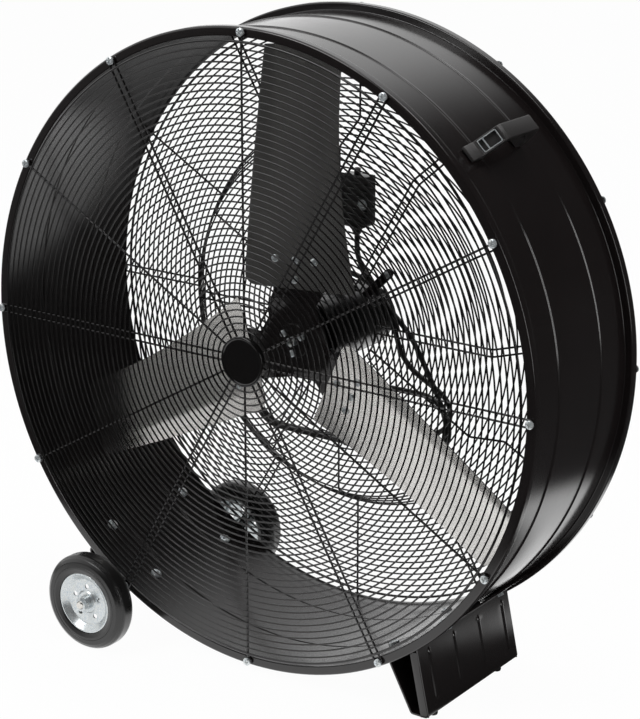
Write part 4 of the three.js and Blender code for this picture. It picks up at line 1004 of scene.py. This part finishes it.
def hub_bolt(shape, angle):
    """Adds one of the three bolts through the washer to a bmesh: its head and its shank."""
    hexagon(shape, around(angle, HUB_BOLT_CIRCLE_R, hub_face), (0, -1, 0), 5.8, 4)
    cone(shape, Matrix.Translation(around(angle, HUB_BOLT_CIRCLE_R, washer_rear + 2.6)) @ UPRIGHT,
         HUB_BOLT_R, HUB_BOLT_R, 13)


hub_face = washer_front - HUB_FACE_GAP
fasteners("shaft_nut", [(hexagon, at(0, hub_face, 0), (0, -1, 0), 8, 7, 5.3)], "fan", ("hub_nut",))
for k in range(3):
    fasteners(f"spider_bolt_{k + 1}", [(hub_bolt, 180 + 120 * k)], "fan", (f"hub_bolt_{k + 1}",))


# ------------------------
# Control box. Moulded black ABS with a screwed lid, on the recessed wires above the motor. The
# speed knob is on its lid; the lead leaves through a strain relief in its lower side.
# ------------------------
BOX_LEFT, BOX_RIGHT, BOX_LOW, BOX_HIGH = -2, 46, 150, 228
BOX_FRONT = 95.3
BOX_REAR = 115.3
LID_REAR = 118.1
BOX_CENTRE_X = 22
KNOB_Z = 196
KNOB_R = 16
KNOB_FOOT = 118.5
KNOB_STEPS = 216
GRIP_HEIGHT = 9.6
GRIP_TOP = 14
MARK_HEIGHT = 0.2
FLUTES = 18
BOX_SHEET = 2.5
box_y = (BOX_FRONT + BOX_REAR) / 2
box_outline = filleted([(BOX_LEFT, BOX_HIGH, 2.5), (BOX_LEFT, BOX_LOW, 9), (BOX_RIGHT, BOX_LOW, 9),
                        (BOX_RIGHT, BOX_HIGH, 2.5)], closed=True)
add("moulded_box", flat_sheet([box_outline], BOX_REAR - BOX_FRONT, upright(box_y), 1.4),
    black_plastic, stands_for=("control_box",))
add("box_conduit_port", turned(filleted([
    (0, BOX_HIGH - 1, 0), (5, BOX_HIGH - 1, 0), (5, BOX_HIGH + 10, 0.8), (3.4, BOX_HIGH + 10, 0.4),
    (3.4, BOX_HIGH + 4, 0), (0, BOX_HIGH + 4, 0)]), at(BOX_CENTRE_X, box_y, 0), 48, "Z"), black_plastic)
add("moulded_lid", flat_sheet([
    box_outline, round_outline(BOX_CENTRE_X, KNOB_Z, 3.6, 32)], BOX_SHEET,
    upright(LID_REAR - BOX_SHEET / 2), 0.7), black_plastic, stands_for=("control_box_lid",))
fasteners("lid_screws", [(screw_head, at(x, LID_REAR, z), (0, 1, 0), 2.8, 1.8, 28, 10)
                         for x, z in ((3, 156), (41, 156), (3, 222), (41, 222))])
add("strain_relief", turned(filleted([
    (0, 149.7, 0), (8.5, 149.7, 0.5), (8.5, 145.6, 0.8), (7, 145, 0.4), (7, 143.8, 0.3), (7.8, 143.3, 0.4),
    (7.5, 142.2, 0.4), (6.3, 141.7, 0.3), (6.2, 140.9, 0.3), (6.9, 140.3, 0.4), (6.5, 139.4, 0.4),
    (5.4, 138.9, 0.3), (5.2, 137.7, 0.4), (0, 137.7, 0)]), at(BOX_CENTRE_X, box_y, 0), 64, "Z"),
    black_plastic, stands_for=("cord_gland",))

knob_shape = bmesh.new()
knob_rings = []
for r, along, flute in ((0, 0, 0), (3, 0, 0), (15.2, 0, 0), (KNOB_R, 0.8, 0.6), (KNOB_R, 5.4, 0.6),
                        (15, 7, 0.3), (13.4, 7, 0), (12.6, 6.4, 0), (0, 6.4, 0)):
    ring = []
    for a in (2 * math.pi * i / KNOB_STEPS for i in range(KNOB_STEPS if r else 1)):
        reach = r - flute * (1 - abs(math.cos(FLUTES * a)))
        ring.append(knob_shape.verts.new(at(
            BOX_CENTRE_X + reach * math.sin(a), KNOB_FOOT + along, KNOB_Z + reach * math.cos(a))))
    knob_rings.append(ring)
skin(knob_shape, knob_rings, KNOB_STEPS)
add("fluted_knob", closed_mesh(knob_shape), black_plastic, "speed_knob", ("speed_knob",))


def on_knob(corners):
    """Points given from the knob's axis, with the rest of each corner as it is."""
    return [(BOX_CENTRE_X + x, KNOB_Z + z, *rest) for x, z, *rest in corners]


add("knob_grip", flat_sheet([filleted(on_knob((
    (-3.5, -13.2, 1.5), (3.5, -13.2, 1.5), (3.5, 10, 1), (0, 13.5, 0.8), (-3.5, 10, 1))), closed=True)],
    GRIP_HEIGHT, upright(KNOB_FOOT + GRIP_TOP - GRIP_HEIGHT / 2), 0.9), black_plastic, "speed_knob")
mark_white = moulded_plastic("white_mark_paint", "#e8e6e0", 0.4, 0.5)
add("knob_mark", flat_sheet([on_knob(((-0.6, 2), (0.6, 2), (0.6, 11), (-0.6, 11)))],
                       MARK_HEIGHT, upright(KNOB_FOOT + GRIP_TOP + 0.05), 0.05), mark_white, "speed_knob")

BOX_SCREW = (42.6, 188)
BOX_SCREW_R = 2.5
BOX_WASHER = (87, 89)
add("box_screw_washer", turned_ring([
    (2.7, BOX_WASHER[0], 0.2), (8, BOX_WASHER[0], 0.4), (8, BOX_WASHER[1], 0.4), (2.7, BOX_WASHER[1], 0.2)],
    at(BOX_SCREW[0], 0, BOX_SCREW[1]), 48), zinc_plate)
fasteners("box_fixing_screw", [
    (screw_head, at(BOX_SCREW[0], BOX_WASHER[0], BOX_SCREW[1]), (0, -1, 0), 5, 4),
    (cone, Matrix.Translation(at(BOX_SCREW[0], BOX_WASHER[0] + 4, BOX_SCREW[1])) @ UPRIGHT,
     BOX_SCREW_R, BOX_SCREW_R, 8, 20)], stands_for=("box_screw",))


# ------------------------
# Carry handle. A moulded black nylon grip whose front leg slopes, with a sunk window in the
# slope that has a bright steel frame and a cross bar.
# ------------------------
HANDLE_ANGLE = 44.9
HANDLE_WIDTH = 24
HANDLE_BASE_R = 465.3
HANDLE_OUTER = ((-88, 0, 0.6), (-87, 4, 2), (-80, 7, 3), (-70, 9, 3), (-44, 38, 3), (-38, 40, 3),
                (38, 40, 3), (44, 34, 3), (44, 0, 0.6))
HANDLE_INNER = ((24, 0, 1), (21, 22, 4), (12, 31, 4), (-38, 31, 5), (-60, 6, 3), (-60, 0, 0.6))
WINDOW = (-67, -47)
WINDOW_WIDTH = 20
WINDOW_DEPTH = 5
BAR_WIDTH = 2
BRIGHTWORK_SUNK = 1.2
FRAME_WIDTH = 1.4
lengthways = Matrix(((0, 0, 1), (1, 0, 0), (0, 1, 0))).to_4x4()
handle_place = Matrix.Translation(centre) @ Matrix.Rotation(math.radians(HANDLE_ANGLE), 4, "Y") @ lengthways


def rounded(width, height, radius, middle=(0, 0)):
    """Outline of a rectangle with rounded corners."""
    cx, cy = middle
    return filleted([(cx + sx * width / 2, cy + sy * height / 2, radius)
                     for sx, sy in ((-1, -1), (1, -1), (1, 1), (-1, 1))], closed=True)


def cut(data, tool_data):
    """Mesh data with another mesh taken out of it."""
    tool = bpy.data.objects.new("cutter", tool_data)
    bpy.context.scene.collection.objects.link(tool)
    made = baked(data, ("BOOLEAN", {"operation": "DIFFERENCE", "object": tool, "solver": "EXACT"}))
    bpy.data.objects.remove(tool)
    return made


handle_data = flat_sheet([filleted(
    [(y, HANDLE_BASE_R + rise, fillet) for y, rise, fillet in (*HANDLE_OUTER, *HANDLE_INNER)], closed=True)],
    HANDLE_WIDTH, handle_place, 1.2)
slope_foot, slope_top = (Vector(point[:2]) for point in HANDLE_OUTER[3:5])
slope = (slope_top - slope_foot).normalized()
window_length = (WINDOW[1] - WINDOW[0]) / slope.x
window_middle = slope_foot + slope * (sum(WINDOW) / 2 - slope_foot.x) / slope.x
facet = handle_place @ Matrix((
    (slope.x, 0, -slope.y, window_middle.x * MM),
    (slope.y, 0, slope.x, (HANDLE_BASE_R + window_middle.y) * MM),
    (0, 1, 0, 0),
    (0, 0, 0, 1)))
handle_data = cut(handle_data, flat_sheet(
    [rounded(window_length, WINDOW_WIDTH, 2)], 2 * WINDOW_DEPTH, facet, 0.1))
nylon = moulded_plastic("moulded_black_nylon", "#1b1919", 0.7, 0.45)
add("handle_strap", handle_data, nylon, stands_for=("carry_handle",))
sunk = facet @ Matrix.Translation((0, 0, -BRIGHTWORK_SUNK * MM))
add("window_frame", flat_sheet([
    rounded(window_length - 0.2, WINDOW_WIDTH - 0.2, 2),
    rounded(window_length - 2 * FRAME_WIDTH, WINDOW_WIDTH - 2 * FRAME_WIDTH, 1)], 3, sunk, 0.2), zinc_plate)
add("window_bar", flat_sheet([
    rounded(BAR_WIDTH, WINDOW_WIDTH - 1.2, 0.6, (-window_length / 5, 0))], 2, sunk, 0.3), zinc_plate)


# ------------------------
# Foot. Sheet steel, 2.5 mm, folded to a channel with four pressed ribs in its outer wall and its
# front and rear edges turned in. It is bolted through two flanges and stands on rubber pads.
# ------------------------
FOOT_FRONT = -126.7
FOOT_REAR = 120
FOOT_SHEET = 2.5
SEAT_R = 467.8
FOOT_BOTTOM = -478.5
FOOT_RIGHT_X = 307
FOOT_LEFT_X = 280
OUTER_FOLD_ANGLE = 142.6
INNER_FOLD_ANGLE = 149.3
FLANGE_BOLT = 3
FOOT_STEP = 2.2
FOOT_BOLT_PLACES = (-74, 68)
RIB_PLACES = (-99, -33, 34, 100)
RIB_HALF_WIDTH = 3.4
RIB_STEPS = (0.4, 1, 1.8, 2.6, 3.4)
RIB_HEIGHT = 2
RIB_FROM, RIB_TO = 17, 95
LIP_WIDTH = 12
LIP_NOTCH = 12
LIP_PROUD = 1.6


def on_seat(angle):
    return flat_polar(angle, SEAT_R)


def resampled(points, spacing):
    """The same line with points at most the spacing apart."""
    made = []
    for a, b in zip(points, points[1:]):
        steps = max(1, math.ceil((Vector(b) - Vector(a)).length / spacing))
        made += [tuple(Vector(a).lerp(Vector(b), k / steps)) for k in range(steps)]
    return [*made, points[-1]]


wall_top = Vector(on_seat(OUTER_FOLD_ANGLE))
wall_foot = Vector((FOOT_RIGHT_X, FOOT_BOTTOM))
wall_up = (wall_top - wall_foot).normalized()
wall_out = Vector((wall_up.y, -wall_up.x))
wall_length = (wall_top - wall_foot).length
foot_line = filleted([
    (*on_seat(OUTER_FOLD_ANGLE - 2 * FLANGE_BOLT), 0), (*on_seat(OUTER_FOLD_ANGLE - FLANGE_BOLT), 0),
    (*wall_top, 4), (*wall_foot, 3.5), (FOOT_LEFT_X, FOOT_BOTTOM, 3.5), (*on_seat(INNER_FOLD_ANGLE), 4),
    (*on_seat(INNER_FOLD_ANGLE + FLANGE_BOLT), 0), (*on_seat(INNER_FOLD_ANGLE + 2 * FLANGE_BOLT), 0)])
foot_line = resampled(foot_line, FOOT_STEP)
foot_levels = sorted({FOOT_FRONT, FOOT_REAR, *range(-120, 120, 12), *[
    y + side * step for y in RIB_PLACES for side in (-1, 1) for step in RIB_STEPS]})


def rib_rise(y, along):
    """How far a rib stands out of the wall, at a height along it from the fold."""
    nearest = min(abs(y - place) for place in RIB_PLACES)
    across = 0.5 + 0.5 * math.cos(math.pi * min(1, nearest / RIB_HALF_WIDTH))
    ends = smoothstep(along, RIB_FROM, RIB_FROM + 5) * (1 - smoothstep(along, RIB_TO - 5, RIB_TO))
    return RIB_HEIGHT * across * ends


foot_rows = []
for y in foot_levels:
    row = []
    for x, z in foot_line:
        offset = Vector((x, z)) - wall_foot
        rise = rib_rise(y, offset.dot(wall_up)) if abs(offset.dot(wall_out)) < 0.3 else 0
        row.append(at(x + wall_out.x * rise, y, z + wall_out.y * rise))
    foot_rows.append(row)
add("folded_foot", grid_mesh(foot_rows, FOOT_SHEET), coated_black, stands_for=("foot_channel",))


def wall_point(along, inward):
    return tuple(wall_foot + wall_up * along - wall_out * inward)


lip_outline = filleted([
    (*wall_point(-1, -LIP_PROUD), 0.6), (*wall_point(wall_length - LIP_NOTCH, -LIP_PROUD), 0.6),
    (*wall_point(wall_length - LIP_NOTCH, LIP_WIDTH), 3), (*wall_point(-1, LIP_WIDTH), 0.6)], closed=True)
for end, y in (("front", FOOT_FRONT + FOOT_SHEET / 2), ("rear", FOOT_REAR - FOOT_SHEET / 2)):
    add(f"foot_{end}_lip", flat_sheet([lip_outline], FOOT_SHEET, upright(y), 0.6), coated_black)


def moulded_rubber(name, code, roughness, grain_mm):
    """Cured rubber: nearly black, matt where it is worn and with a soft sheen elsewhere."""
    return clouded(name, (code, "#171616"), (roughness - 0.08, roughness + 0.1), (30, 6),
                   grain=(1 / (grain_mm * MM), 3, 0.15, 0.0003))


pad_rubber = moulded_rubber("pad_rubber", "#0f0f0f", 0.6, 0.8)
for name in ("foot_pad_front", "foot_pad_rear"):
    low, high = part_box(name)
    middle = (low + high) / 2
    add(f"{name}_moulding", turned(filleted([
        (0, 0, 0), (6.2, 0, 0.9), (6.9, 2.2, 0.8), (7, 4.4, 0.3), (6.2, 4.6, 0.2), (6.2, 5.7, 0.2),
        (0, 5.7, 0)]), Vector((*middle.xy, low.z)), 64, "Z"), pad_rubber, stands_for=(name,))


def shell_bolts(name, angles, places, seat):
    """Bolts through the drum's shell: pan heads inside it, and nuts on the flange at the seat."""
    parts = []
    for angle in angles:
        outward = Vector(polar(angle, 1, 0))
        for y in places:
            parts += [(screw_head, around(angle, DRUM_INNER_R, y), -outward, 8.4, 4.6),
                      (hexagon, around(angle, seat, y), outward, 5.6, 4.2)]
    fasteners(name, parts)


shell_bolts("foot_bolts", (OUTER_FOLD_ANGLE - FLANGE_BOLT, INNER_FOLD_ANGLE + FLANGE_BOLT),
            FOOT_BOLT_PLACES, SEAT_R + FOOT_SHEET)


# ------------------------
# Axle bracket and axle. A 3 mm steel channel bolted along the shell, closed by an end plate near
# each rim. The axle is bright round bar through both plates, with a hexagon nut at each end.
# ------------------------
BRACKET_WALLS = (210.2, 220.6)
BRACKET_FLANGE = 3.6
BRACKET_BOLT_ANGLES = (208.8, 222.0)
BRACKET_BOLT_PLACES = (-87, 87)
BRACKET_TOP_R = 495
BRACKET_HALF_LENGTH = 126
BRACKET_SHEET = 3
PLATE_THICKNESS = 4
PLATE_INSET = 6
PLATE_PLAY = 0.12
AXLE_R = 6
axle_low, axle_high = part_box("axle")
axle_x = ((axle_low + axle_high) / 2 - centre).x / MM
axle_z = ((axle_low + axle_high) / 2 - centre).z / MM
axle_front, axle_rear = (axle_low - centre).y / MM, (axle_high - centre).y / MM


def sheet_outline(line, thickness):
    """Closed outline of a bent sheet: the line, then back along it at the sheet's thickness outwards."""
    outer = []
    for i, point in enumerate(line):
        before = Vector(line[max(0, i - 1)])
        after = Vector(line[min(len(line) - 1, i + 1)])
        along = (after - before).normalized()
        outer.append(tuple(Vector(point) + Vector((-along.y, along.x)) * thickness))
    return [*line, *reversed(outer)]


def arc_points(r, first, last, steps):
    return [flat_polar(first + (last - first) * k / steps, r) for k in range(steps + 1)]


first_wall, last_wall = BRACKET_WALLS
bracket_corners = [(*flat_polar(angle, r), fillet) for angle, r, fillet in (
    (first_wall - BRACKET_FLANGE, SEAT_R, 0), (first_wall, SEAT_R, 3), (first_wall, BRACKET_TOP_R, 5))]
bracket_corners += [(*p, 0) for p in arc_points(BRACKET_TOP_R, first_wall, last_wall, 6)[1:-1]]
bracket_corners += [(*flat_polar(angle, r), fillet) for angle, r, fillet in (
    (last_wall, BRACKET_TOP_R, 5), (last_wall, SEAT_R, 3), (last_wall + BRACKET_FLANGE, SEAT_R, 0))]
bracket_section = sheet_outline(filleted(bracket_corners), BRACKET_SHEET)
add("folded_bracket", flat_sheet([bracket_section], 2 * BRACKET_HALF_LENGTH, upright(0), 0.5), coated_black,
    stands_for=("axle_bracket",))
plate_outline = filleted([(*p, 0) for p in (
    *arc_points(BRACKET_TOP_R - 0.6, first_wall + PLATE_PLAY, last_wall - PLATE_PLAY, 8),
    *arc_points(SEAT_R + 3.6, last_wall - PLATE_PLAY, first_wall + PLATE_PLAY, 8))], closed=True)
for end, side in (("front", -1), ("rear", 1)):
    add(f"bracket_{end}_plate", flat_sheet([
        plate_outline, round_outline(axle_x, axle_z, AXLE_R + 0.4, 48)], PLATE_THICKNESS,
        upright(side * (BRACKET_HALF_LENGTH - PLATE_INSET)), 0.4), coated_black,
        stands_for=(f"axle_plate_{end}",))
shell_bolts("bracket_bolts", BRACKET_BOLT_ANGLES, BRACKET_BOLT_PLACES, SEAT_R + BRACKET_SHEET)

THREAD_FROM = 1.2
THREAD_TURNS = 6
THREAD_DEPTH = 0.45
AXLE_NECK = 8.4
NUT_FOOT = 8
thread = []
for k in range(THREAD_TURNS):
    turn = axle_front + THREAD_FROM + k
    thread += [(AXLE_R - THREAD_DEPTH, turn), (AXLE_R, turn + 0.5)]
add("axle_bar", turned([
    (0, axle_front), (AXLE_R - 1, axle_front), *thread, (AXLE_R, axle_front + AXLE_NECK),
    (AXLE_R, axle_rear - AXLE_NECK), *[(r, axle_rear + axle_front - y) for r, y in reversed(thread)],
    (AXLE_R - 1, axle_rear), (0, axle_rear)], at(axle_x, 0, axle_z), 64), drawn_steel, stands_for=("axle",))
for end, y, side in (("front", axle_front + NUT_FOOT, -1), ("rear", axle_rear - NUT_FOOT, 1)):
    fasteners(f"{end}_axle_nut", [(hexagon, at(axle_x, y, axle_z), (0, side, 0), 10.5, 6, AXLE_R + 0.2)],
              stands_for=(f"{end}_hub_nut",))


# ------------------------
# Wheels. Semi-solid rubber tyres, 150 mm, on rims pressed from sheet steel and bright zinc
# plated. Each rim has a dished plate with five holes and a tube that turns on the axle.
# ------------------------
WHEEL_R = 75
TYRE_HALF = 18
TYRE_SEAT_R = 48.4
RIM_OUTER_R = 48
RIM_HALF = 15.5
DISH_DEPTH = 8
HUB_TUBE_R = 11
RIM_HOLES = 5
RIM_HOLE_R = 4
RIM_HOLE_CIRCLE_R = 25
tyre_rubber = moulded_rubber("tyre_rubber", "#090909", 0.28, 0.9)
rim_zinc = bright_zinc("rim_zinc_plate", "#c9ccce", 0.27)
tyre_side = [
    (TYRE_SEAT_R, -15.8, 0), (TYRE_SEAT_R + 2, -16.6, 1), (55, -18, 3), (58.4, -18, 0.3), (58.9, -17.4, 0.2),
    (59.4, -18, 0.3), (66, -17.6, 4), (71, -14.6, 4), (72.6, -12.4, 0.3), (72.3, -11.9, 0.2),
    (73.1, -11.5, 0.3), (74, -10, 0.3), (73.7, -9.5, 0.2), (74.4, -9.1, 0.3), (WHEEL_R, -6.5, 4)]
tyre_corners = [*tyre_side, *[(r, -y, f) for r, y, f in reversed(tyre_side)]]
rim_corners = [
    (HUB_TUBE_R + 5, -RIM_HALF + DISH_DEPTH - 2.4, 1), (HUB_TUBE_R + 7.5, -RIM_HALF + DISH_DEPTH, 1.5),
    (36, -RIM_HALF + DISH_DEPTH, 2), (44, -RIM_HALF + 1.4, 2), (45.6, -RIM_HALF, 1.2),
    (RIM_OUTER_R, -RIM_HALF, 1.2), (RIM_OUTER_R, -RIM_HALF + 2.4, 1), (RIM_OUTER_R - 0.6, -RIM_HALF + 4, 1),
    (RIM_OUTER_R - 0.6, RIM_HALF - 4, 1), (RIM_OUTER_R, RIM_HALF - 2.4, 1), (RIM_OUTER_R, RIM_HALF, 1),
    (RIM_OUTER_R - 2, RIM_HALF, 0.6), (RIM_OUTER_R - 2.2, -RIM_HALF + 5, 1),
    (44.6, -RIM_HALF + 3.6, 1), (36.8, -RIM_HALF + DISH_DEPTH + 2, 2),
    (HUB_TUBE_R, -RIM_HALF + DISH_DEPTH + 2, 0), (HUB_TUBE_R, -RIM_HALF + DISH_DEPTH - 2.4, 0)]
tube_corners = [
    (AXLE_R + 0.5, -TYRE_HALF, 0.4), (HUB_TUBE_R, -TYRE_HALF, 0.9), (HUB_TUBE_R, TYRE_HALF, 0.9),
    (AXLE_R + 0.5, TYRE_HALF, 0.4)]
for end, flip in (("front", 1), ("rear", -1)):
    low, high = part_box(f"{end}_tyre")
    middle = (low + high) / 2
    body = f"{end}_wheel"
    add(f"{end}_rubber_tyre", turned_ring(tyre_corners, middle, 144, 4), tyre_rubber,
        body, (f"{end}_tyre",))
    rim_data = turned_ring([(r, flip * y, f) for r, y, f in rim_corners], middle, 144)
    holes = bmesh.new()
    for k in range(RIM_HOLES):
        place = Vector(polar(360 * k / RIM_HOLES, RIM_HOLE_CIRCLE_R, flip * (DISH_DEPTH - RIM_HALF)))
        cone(holes, Matrix.Translation(middle + place * MM) @ UPRIGHT, RIM_HOLE_R, RIM_HOLE_R, 20, 32)
    rim_data = cut(rim_data, closed_mesh(holes))
    rim_data.set_sharp_from_angle(angle=math.radians(32))
    add(f"{end}_pressed_rim", rim_data, rim_zinc, body, (f"{end}_wheel_rim",))
    add(f"{end}_hub_tube", turned_ring(tube_corners, middle, 64), zinc_plate, body)


# ------------------------
# Studio. A pale floor and a white surround. Gloss sees the floor as painted glow: a painted pool of
# light under the fan with a painted shadow at the foot. Gloss sees the surround as a bright wall on the
# left and a dim room elsewhere. Three soft lamps.
# ------------------------
# The floor's glow that gloss sees is painted light: a glowing sheet under the fan, a painted shadow at the
# foot and a dim glow beyond.
PAINTED_SHEET_GLOW = 1.5
WALL_GLOSS = 1.35
DIM_GLOSS = 0.03
REAR_GLOSS = 0.2
CAMERA_SHARE = 0.97
DIFFUSE_FILL = 0.45
# The painted shadow of the foot: a dim disc in the floor's glow round this point.
PAINTED_FOOT_SHADOW = (0.48, 0.1, 0)
SHEET_CENTRE = (-0.1, 0.1, 0)
SHEET_EDGE = (0.72, 0.84)
PAINTED_SHADOW_EDGE = (0.2, 0.32)
REAR_WAY = (-1, 0.6, 0)
REAR_BAND = (0.4, 1.4)
WALL_BAND = (0.1, 0.55)
WALL_TURN = 0.3
FLOOR_HALF = 30

scene = bpy.context.scene
scene.view_settings.view_transform = "Standard"


def calculated(tree, operation, first, second):
    """The result of a Math node on two values or sockets."""
    return node(tree, "ShaderNodeMath", {"operation": operation}, {0: first, 1: second}).outputs[0]


def measured(tree, operation, way):
    """The result of a Vector Math node on the floor's own place and a vector."""
    return node(tree, "ShaderNodeVectorMath", {"operation": operation}, {
        0: own_place(tree), 1: way}).outputs["Value"]


def white_floor_and_painted_glow(name, diffuse):
    """Matt white paper that the camera sees whiter than its lamps make it. For gloss it glows as painted
    light: a painted pool of light under and behind the fan, with a narrow edge and a painted shadow at the
    foot, and a dim painted glow beyond."""
    made, tree = material(name)
    tree.nodes.remove(tree.nodes["Principled BSDF"])
    path = node(tree, "ShaderNodeLightPath").outputs
    # A painted pool of light on the floor that only gloss sees, with the foot's painted shadow taken out of
    # it.
    sheet = ranged(tree, measured(tree, "DISTANCE", SHEET_CENTRE), 1, 0, *SHEET_EDGE, soft=True)
    outside_painted_shadow = ranged(tree, measured(tree, "DISTANCE", PAINTED_FOOT_SHADOW), 0, 1, *PAINTED_SHADOW_EDGE, soft=True)
    rearward = measured(tree, "DOT_PRODUCT", REAR_WAY)
    beyond = ranged(tree, rearward, DIM_GLOSS, REAR_GLOSS, *REAR_BAND, soft=True)
    painted_glow = ranged(tree, calculated(tree, "MULTIPLY", sheet, outside_painted_shadow), beyond, PAINTED_SHEET_GLOW)
    # The floor glows for gloss though it is no lamp: painted reflection light.
    glow = node(tree, "ShaderNodeEmission", {}, {
        "Color": (1, 1, 1, 1), "Strength": ranged(tree, path["Is Camera Ray"], painted_glow, 1)})
    paper = node(tree, "ShaderNodeBsdfDiffuse", {}, {"Color": linear(diffuse)})
    seen = calculated(tree, "MAXIMUM", path["Is Camera Ray"], path["Is Glossy Ray"])
    mixed = node(tree, "ShaderNodeMixShader", {}, {
        0: calculated(tree, "MULTIPLY", seen, CAMERA_SHARE), 1: paper.outputs[0], 2: glow.outputs[0]})
    tree.links.new(mixed.outputs[0], tree.nodes["Material Output"].inputs["Surface"])
    return made


floor_shape = bmesh.new()
bmesh.ops.create_grid(floor_shape, x_segments=1, y_segments=1, size=FLOOR_HALF)
floor_data = bpy.data.meshes.new("studio_floor")
floor_shape.to_mesh(floor_data)
floor_shape.free()
floor_data.materials.append(white_floor_and_painted_glow("paper_and_painted_glow", "#f0f0f0"))
floor = bpy.data.objects.new("studio_floor", floor_data)
floor.location.z = cad_box[0].z
scene.collection.objects.link(floor)

world = bpy.data.worlds.new("studio_surround")
world.use_nodes = True
scene.world = world
sky = world.node_tree
path = node(sky, "ShaderNodeLightPath").outputs
way = node(sky, "ShaderNodeSeparateXYZ", {}, {
    0: node(sky, "ShaderNodeTexCoord").outputs["Generated"]}).outputs
leftward = calculated(sky, "SUBTRACT", calculated(sky, "MULTIPLY", way["Y"], WALL_TURN), way["X"])
lit_wall = ranged(sky, leftward, DIM_GLOSS, WALL_GLOSS, *WALL_BAND, soft=True)
around_fan = ranged(sky, path["Is Glossy Ray"], DIFFUSE_FILL, lit_wall)
clear = calculated(sky, "MAXIMUM", path["Is Camera Ray"], path["Is Transmission Ray"])
set_inputs(sky, sky.nodes["Background"], {
    "Color": (1, 1, 1, 1), "Strength": ranged(sky, clear, around_fan, 1)})


def softbox(name, place, size, power):
    """A rectangular soft lamp that points at the fan."""
    lamp = bpy.data.lights.new(name, "AREA")
    lamp.shape = "RECTANGLE"
    lamp.size, lamp.size_y = size
    lamp.energy = power
    made = bpy.data.objects.new(name, lamp)
    made.location = centre + Vector(place)
    made.rotation_euler = (-Vector(place)).to_track_quat("-Z", "Y").to_euler()
    scene.collection.objects.link(made)


softbox("key_softbox", (-1.2, -2.6, 2.6), (1.6, 1.6), 60)
softbox("top_softbox", (0.6, 0.6, 3.0), (1.4, 2.2), 45)
softbox("right_softbox", (3.4, -0.6, 0.8), (0.8, 2.2), 30)
